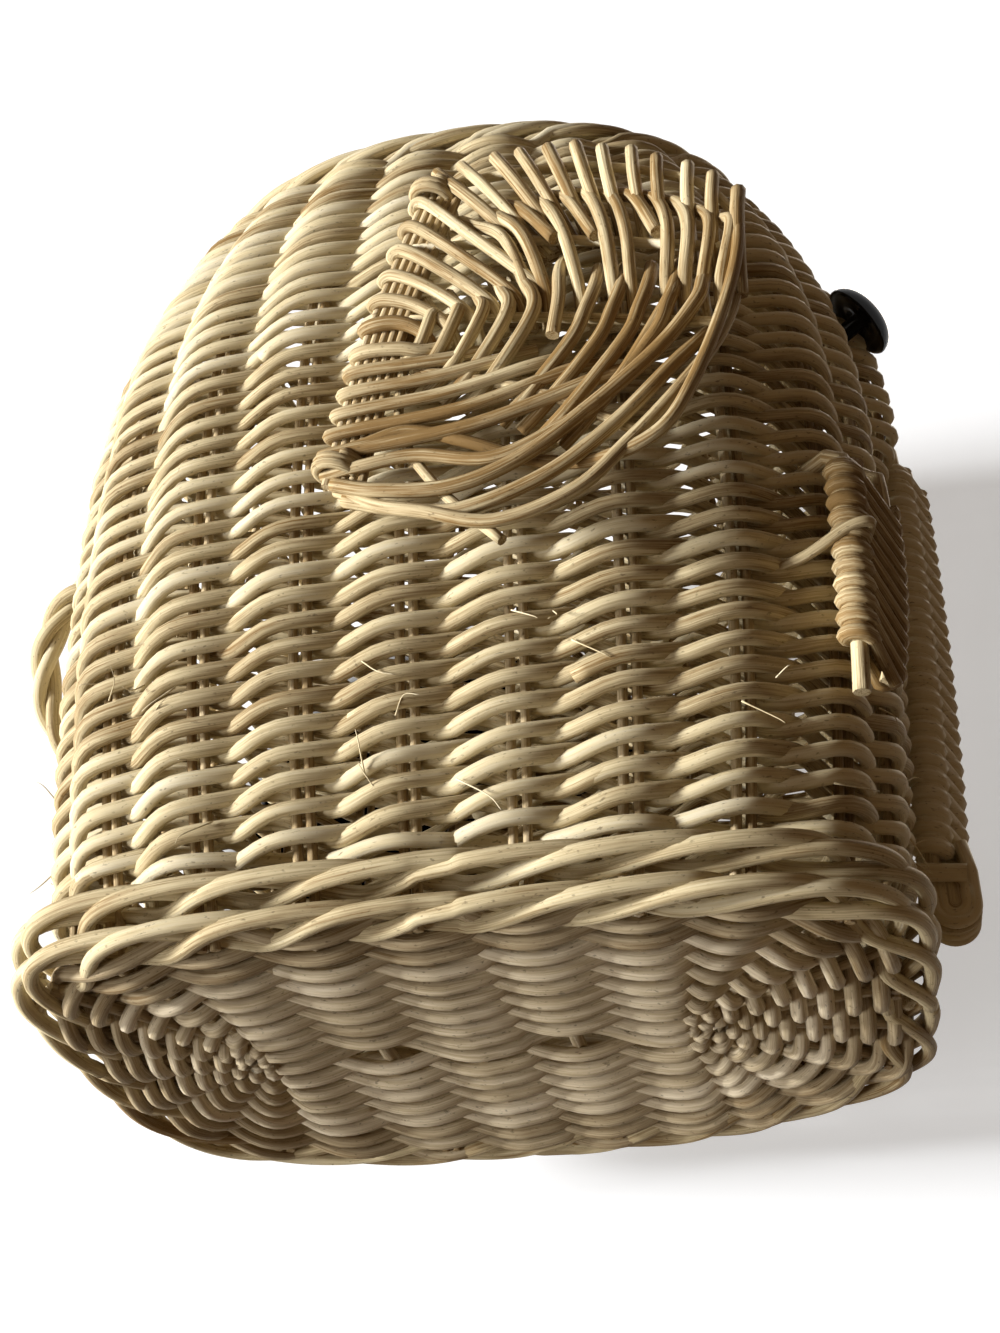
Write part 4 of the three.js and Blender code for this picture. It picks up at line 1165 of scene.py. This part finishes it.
# Stage: the backdrop has a gap behind the basket, closed by a black card further back: painted shade, seen
# through the weave behind the basket
STAGE_REACH = 4.0
FLOOR_HEIGHT = base_low[2] - 0.2 * MM
BACK = cad_box[1][1] + 1 * MM
SHADE_GAP_MIDDLE = np.array([-0.36 * BASE_HALF[0], BACK, 0.44 * RIM_HEIGHT])
SHADE_GAP_REACH = np.array([0.8 * BASE_HALF[0], 1, 0.36 * RIM_HEIGHT])
SHADE_GAP_EDGE = (0.9, 1.1)
SHADE_CARD_SIZE = 1.15
SHADE_CARD_DISTANCE = 1.12

# Light: each lamp's strength, spread in degrees, colour and the side it shines from
LAMPS = {
    "key": (7.1, 11, (1.0, 0.985, 0.96), (-0.925, -0.38, 0.0)),
    "fill": (1.7, 24, (1.0, 0.98, 0.95), (-0.86, -0.28, -0.42)),
    "back": (1.5, 30, (1.0, 0.90, 0.78), (0.22, 0.62, 0.75)),
}


def one_sided(name, corners, colour, glow, shade_gap=None):
    """A plain sheet that only the camera sees, and only from its front, so that light passes it.

    Inside shade_gap, an oval given by its middle and its reach, the sheet is clear, so that the black card
    behind it shows there as painted shade."""
    mesh = bpy.data.meshes.new(name)
    mesh.from_pydata(corners, [], [tuple(range(len(corners)))])
    sheet = add_object(name, mesh)
    material = bpy.data.materials.new(name)
    tree = bare_tree(material)
    path = add_node(tree, "ShaderNodeLightPath")
    geometry = add_node(tree, "ShaderNodeNewGeometry")
    front = add_math(tree, "SUBTRACT", 1.0, geometry.outputs["Backfacing"])
    seen = add_math(tree, "MULTIPLY", path.outputs["Is Camera Ray"], front)
    if shade_gap:
        middle, reach = shade_gap
        away = add_vector(tree, "SUBTRACT", geometry.outputs["Position"], middle)
        share = add_vector(tree, "DIVIDE", away, reach)
        far = add_node(tree, "ShaderNodeVectorMath", {0: share}, operation="LENGTH").outputs["Value"]
        seen = add_math(tree, "MULTIPLY", seen, add_range(tree, far, *SHADE_GAP_EDGE))
    matt = add_node(tree, "ShaderNodeBsdfDiffuse", {"Color": (*colour, 1)}).outputs[0]
    light = add_node(tree, "ShaderNodeEmission", {"Color": (1, 1, 1, 1), "Strength": glow}).outputs[0]
    both = add_node(tree, "ShaderNodeAddShader", {0: matt, 1: light}).outputs[0]
    clear = add_node(tree, "ShaderNodeBsdfTransparent").outputs[0]
    mixed = add_node(tree, "ShaderNodeMixShader", {0: seen, 1: clear, 2: both}).outputs[0]
    add_node(tree, "ShaderNodeOutputMaterial", {"Surface": mixed})
    sheet.data.materials.append(material)


def make_stage(shade_card_sides=36):
    far, deep = STAGE_REACH, FLOOR_HEIGHT - STAGE_REACH
    across = (-far, far, far, -far)
    floor = [(x, y, FLOOR_HEIGHT) for x, y in zip(across, (-far, -far, far, far))]
    one_sided("floor", floor, colour=(0.75, 0.78, 0.83), glow=0.5)
    backdrop = [(x, BACK, z) for x, z in zip(across, (deep, deep, far, far))]
    shade_gap = (SHADE_GAP_MIDDLE.tolist(), SHADE_GAP_REACH.tolist())
    one_sided("backdrop", backdrop, colour=(0.60, 0.625, 0.66), glow=0.45, shade_gap=shade_gap)
    turn = round_angles(shade_card_sides)
    ring = np.stack([np.cos(turn), np.zeros_like(turn), np.sin(turn)], -1)
    oval = SHADE_GAP_MIDDLE + SHADE_CARD_SIZE * SHADE_GAP_REACH * ring
    shade_card = CAMERA_PLACE + SHADE_CARD_DISTANCE * (oval - CAMERA_PLACE)
    # A black sheet with no glow: painted shade behind the basket, seen through its weave
    one_sided("painted_shade_card", shade_card.tolist(), colour=(0, 0, 0), glow=0.0)


def make_light():
    world = bpy.data.worlds.new("studio")
    bpy.context.scene.world = world
    tree = bare_tree(world)
    path = add_node(tree, "ShaderNodeLightPath")
    shown = add_math(tree, "MAXIMUM", path.outputs["Is Camera Ray"], path.outputs["Is Glossy Ray"])
    shown = add_math(tree, "MAXIMUM", shown, path.outputs["Is Transmission Ray"])
    dim = add_node(tree, "ShaderNodeBackground", {"Color": (1, 0.58, 0.26, 1), "Strength": 0.1}).outputs[0]
    white = add_node(tree, "ShaderNodeBackground", {"Color": (1, 1, 1, 1), "Strength": 1.0}).outputs[0]
    mixed = add_node(tree, "ShaderNodeMixShader", {0: shown, 1: dim, 2: white}).outputs[0]
    add_node(tree, "ShaderNodeOutputWorld", {"Surface": mixed})
    for name, settings in LAMPS.items():
        add_sun(name, *settings)


def add_sun(name, strength, spread, colour, towards):
    lamp = bpy.data.lights.new(name, "SUN")
    lamp.energy = strength
    lamp.angle = math.radians(spread)
    lamp.color = colour
    sun = add_object(name, lamp)
    sun.rotation_mode = "QUATERNION"
    sun.rotation_quaternion = look(towards).to_quaternion()


def look(back, roll=0.0):
    """Axes of something that looks against the direction back, with the world's up."""
    back = unit(np.asarray(back, float))
    level = unit(np.cross((0, 0, 1), back))
    upright = np.cross(back, level)
    right = level * math.cos(roll) + upright * math.sin(roll)
    up = upright * math.cos(roll) - level * math.sin(roll)
    return Matrix(np.stack([right, up, back], -1).tolist())


def make_camera():
    data = bpy.data.cameras.new("camera")
    data.sensor_fit = "AUTO"
    data.sensor_width = SENSOR
    data.lens = SENSOR * FOCAL_PIXELS / PICTURE_HEIGHT
    data.clip_start = 0.01
    data.clip_end = 50
    camera = add_object("camera", data)
    level = math.cos(CAMERA_PITCH)
    back = (math.sin(CAMERA_TURN) * level, -math.cos(CAMERA_TURN) * level, -math.sin(CAMERA_PITCH))
    camera.matrix_world = Matrix.Translation(CAMERA_PLACE.tolist()) @ look(back, CAMERA_ROLL).to_4x4()
    bpy.context.scene.camera = camera


make_stage()
make_light()
make_camera()
bpy.context.scene.view_settings.view_transform = "Standard"
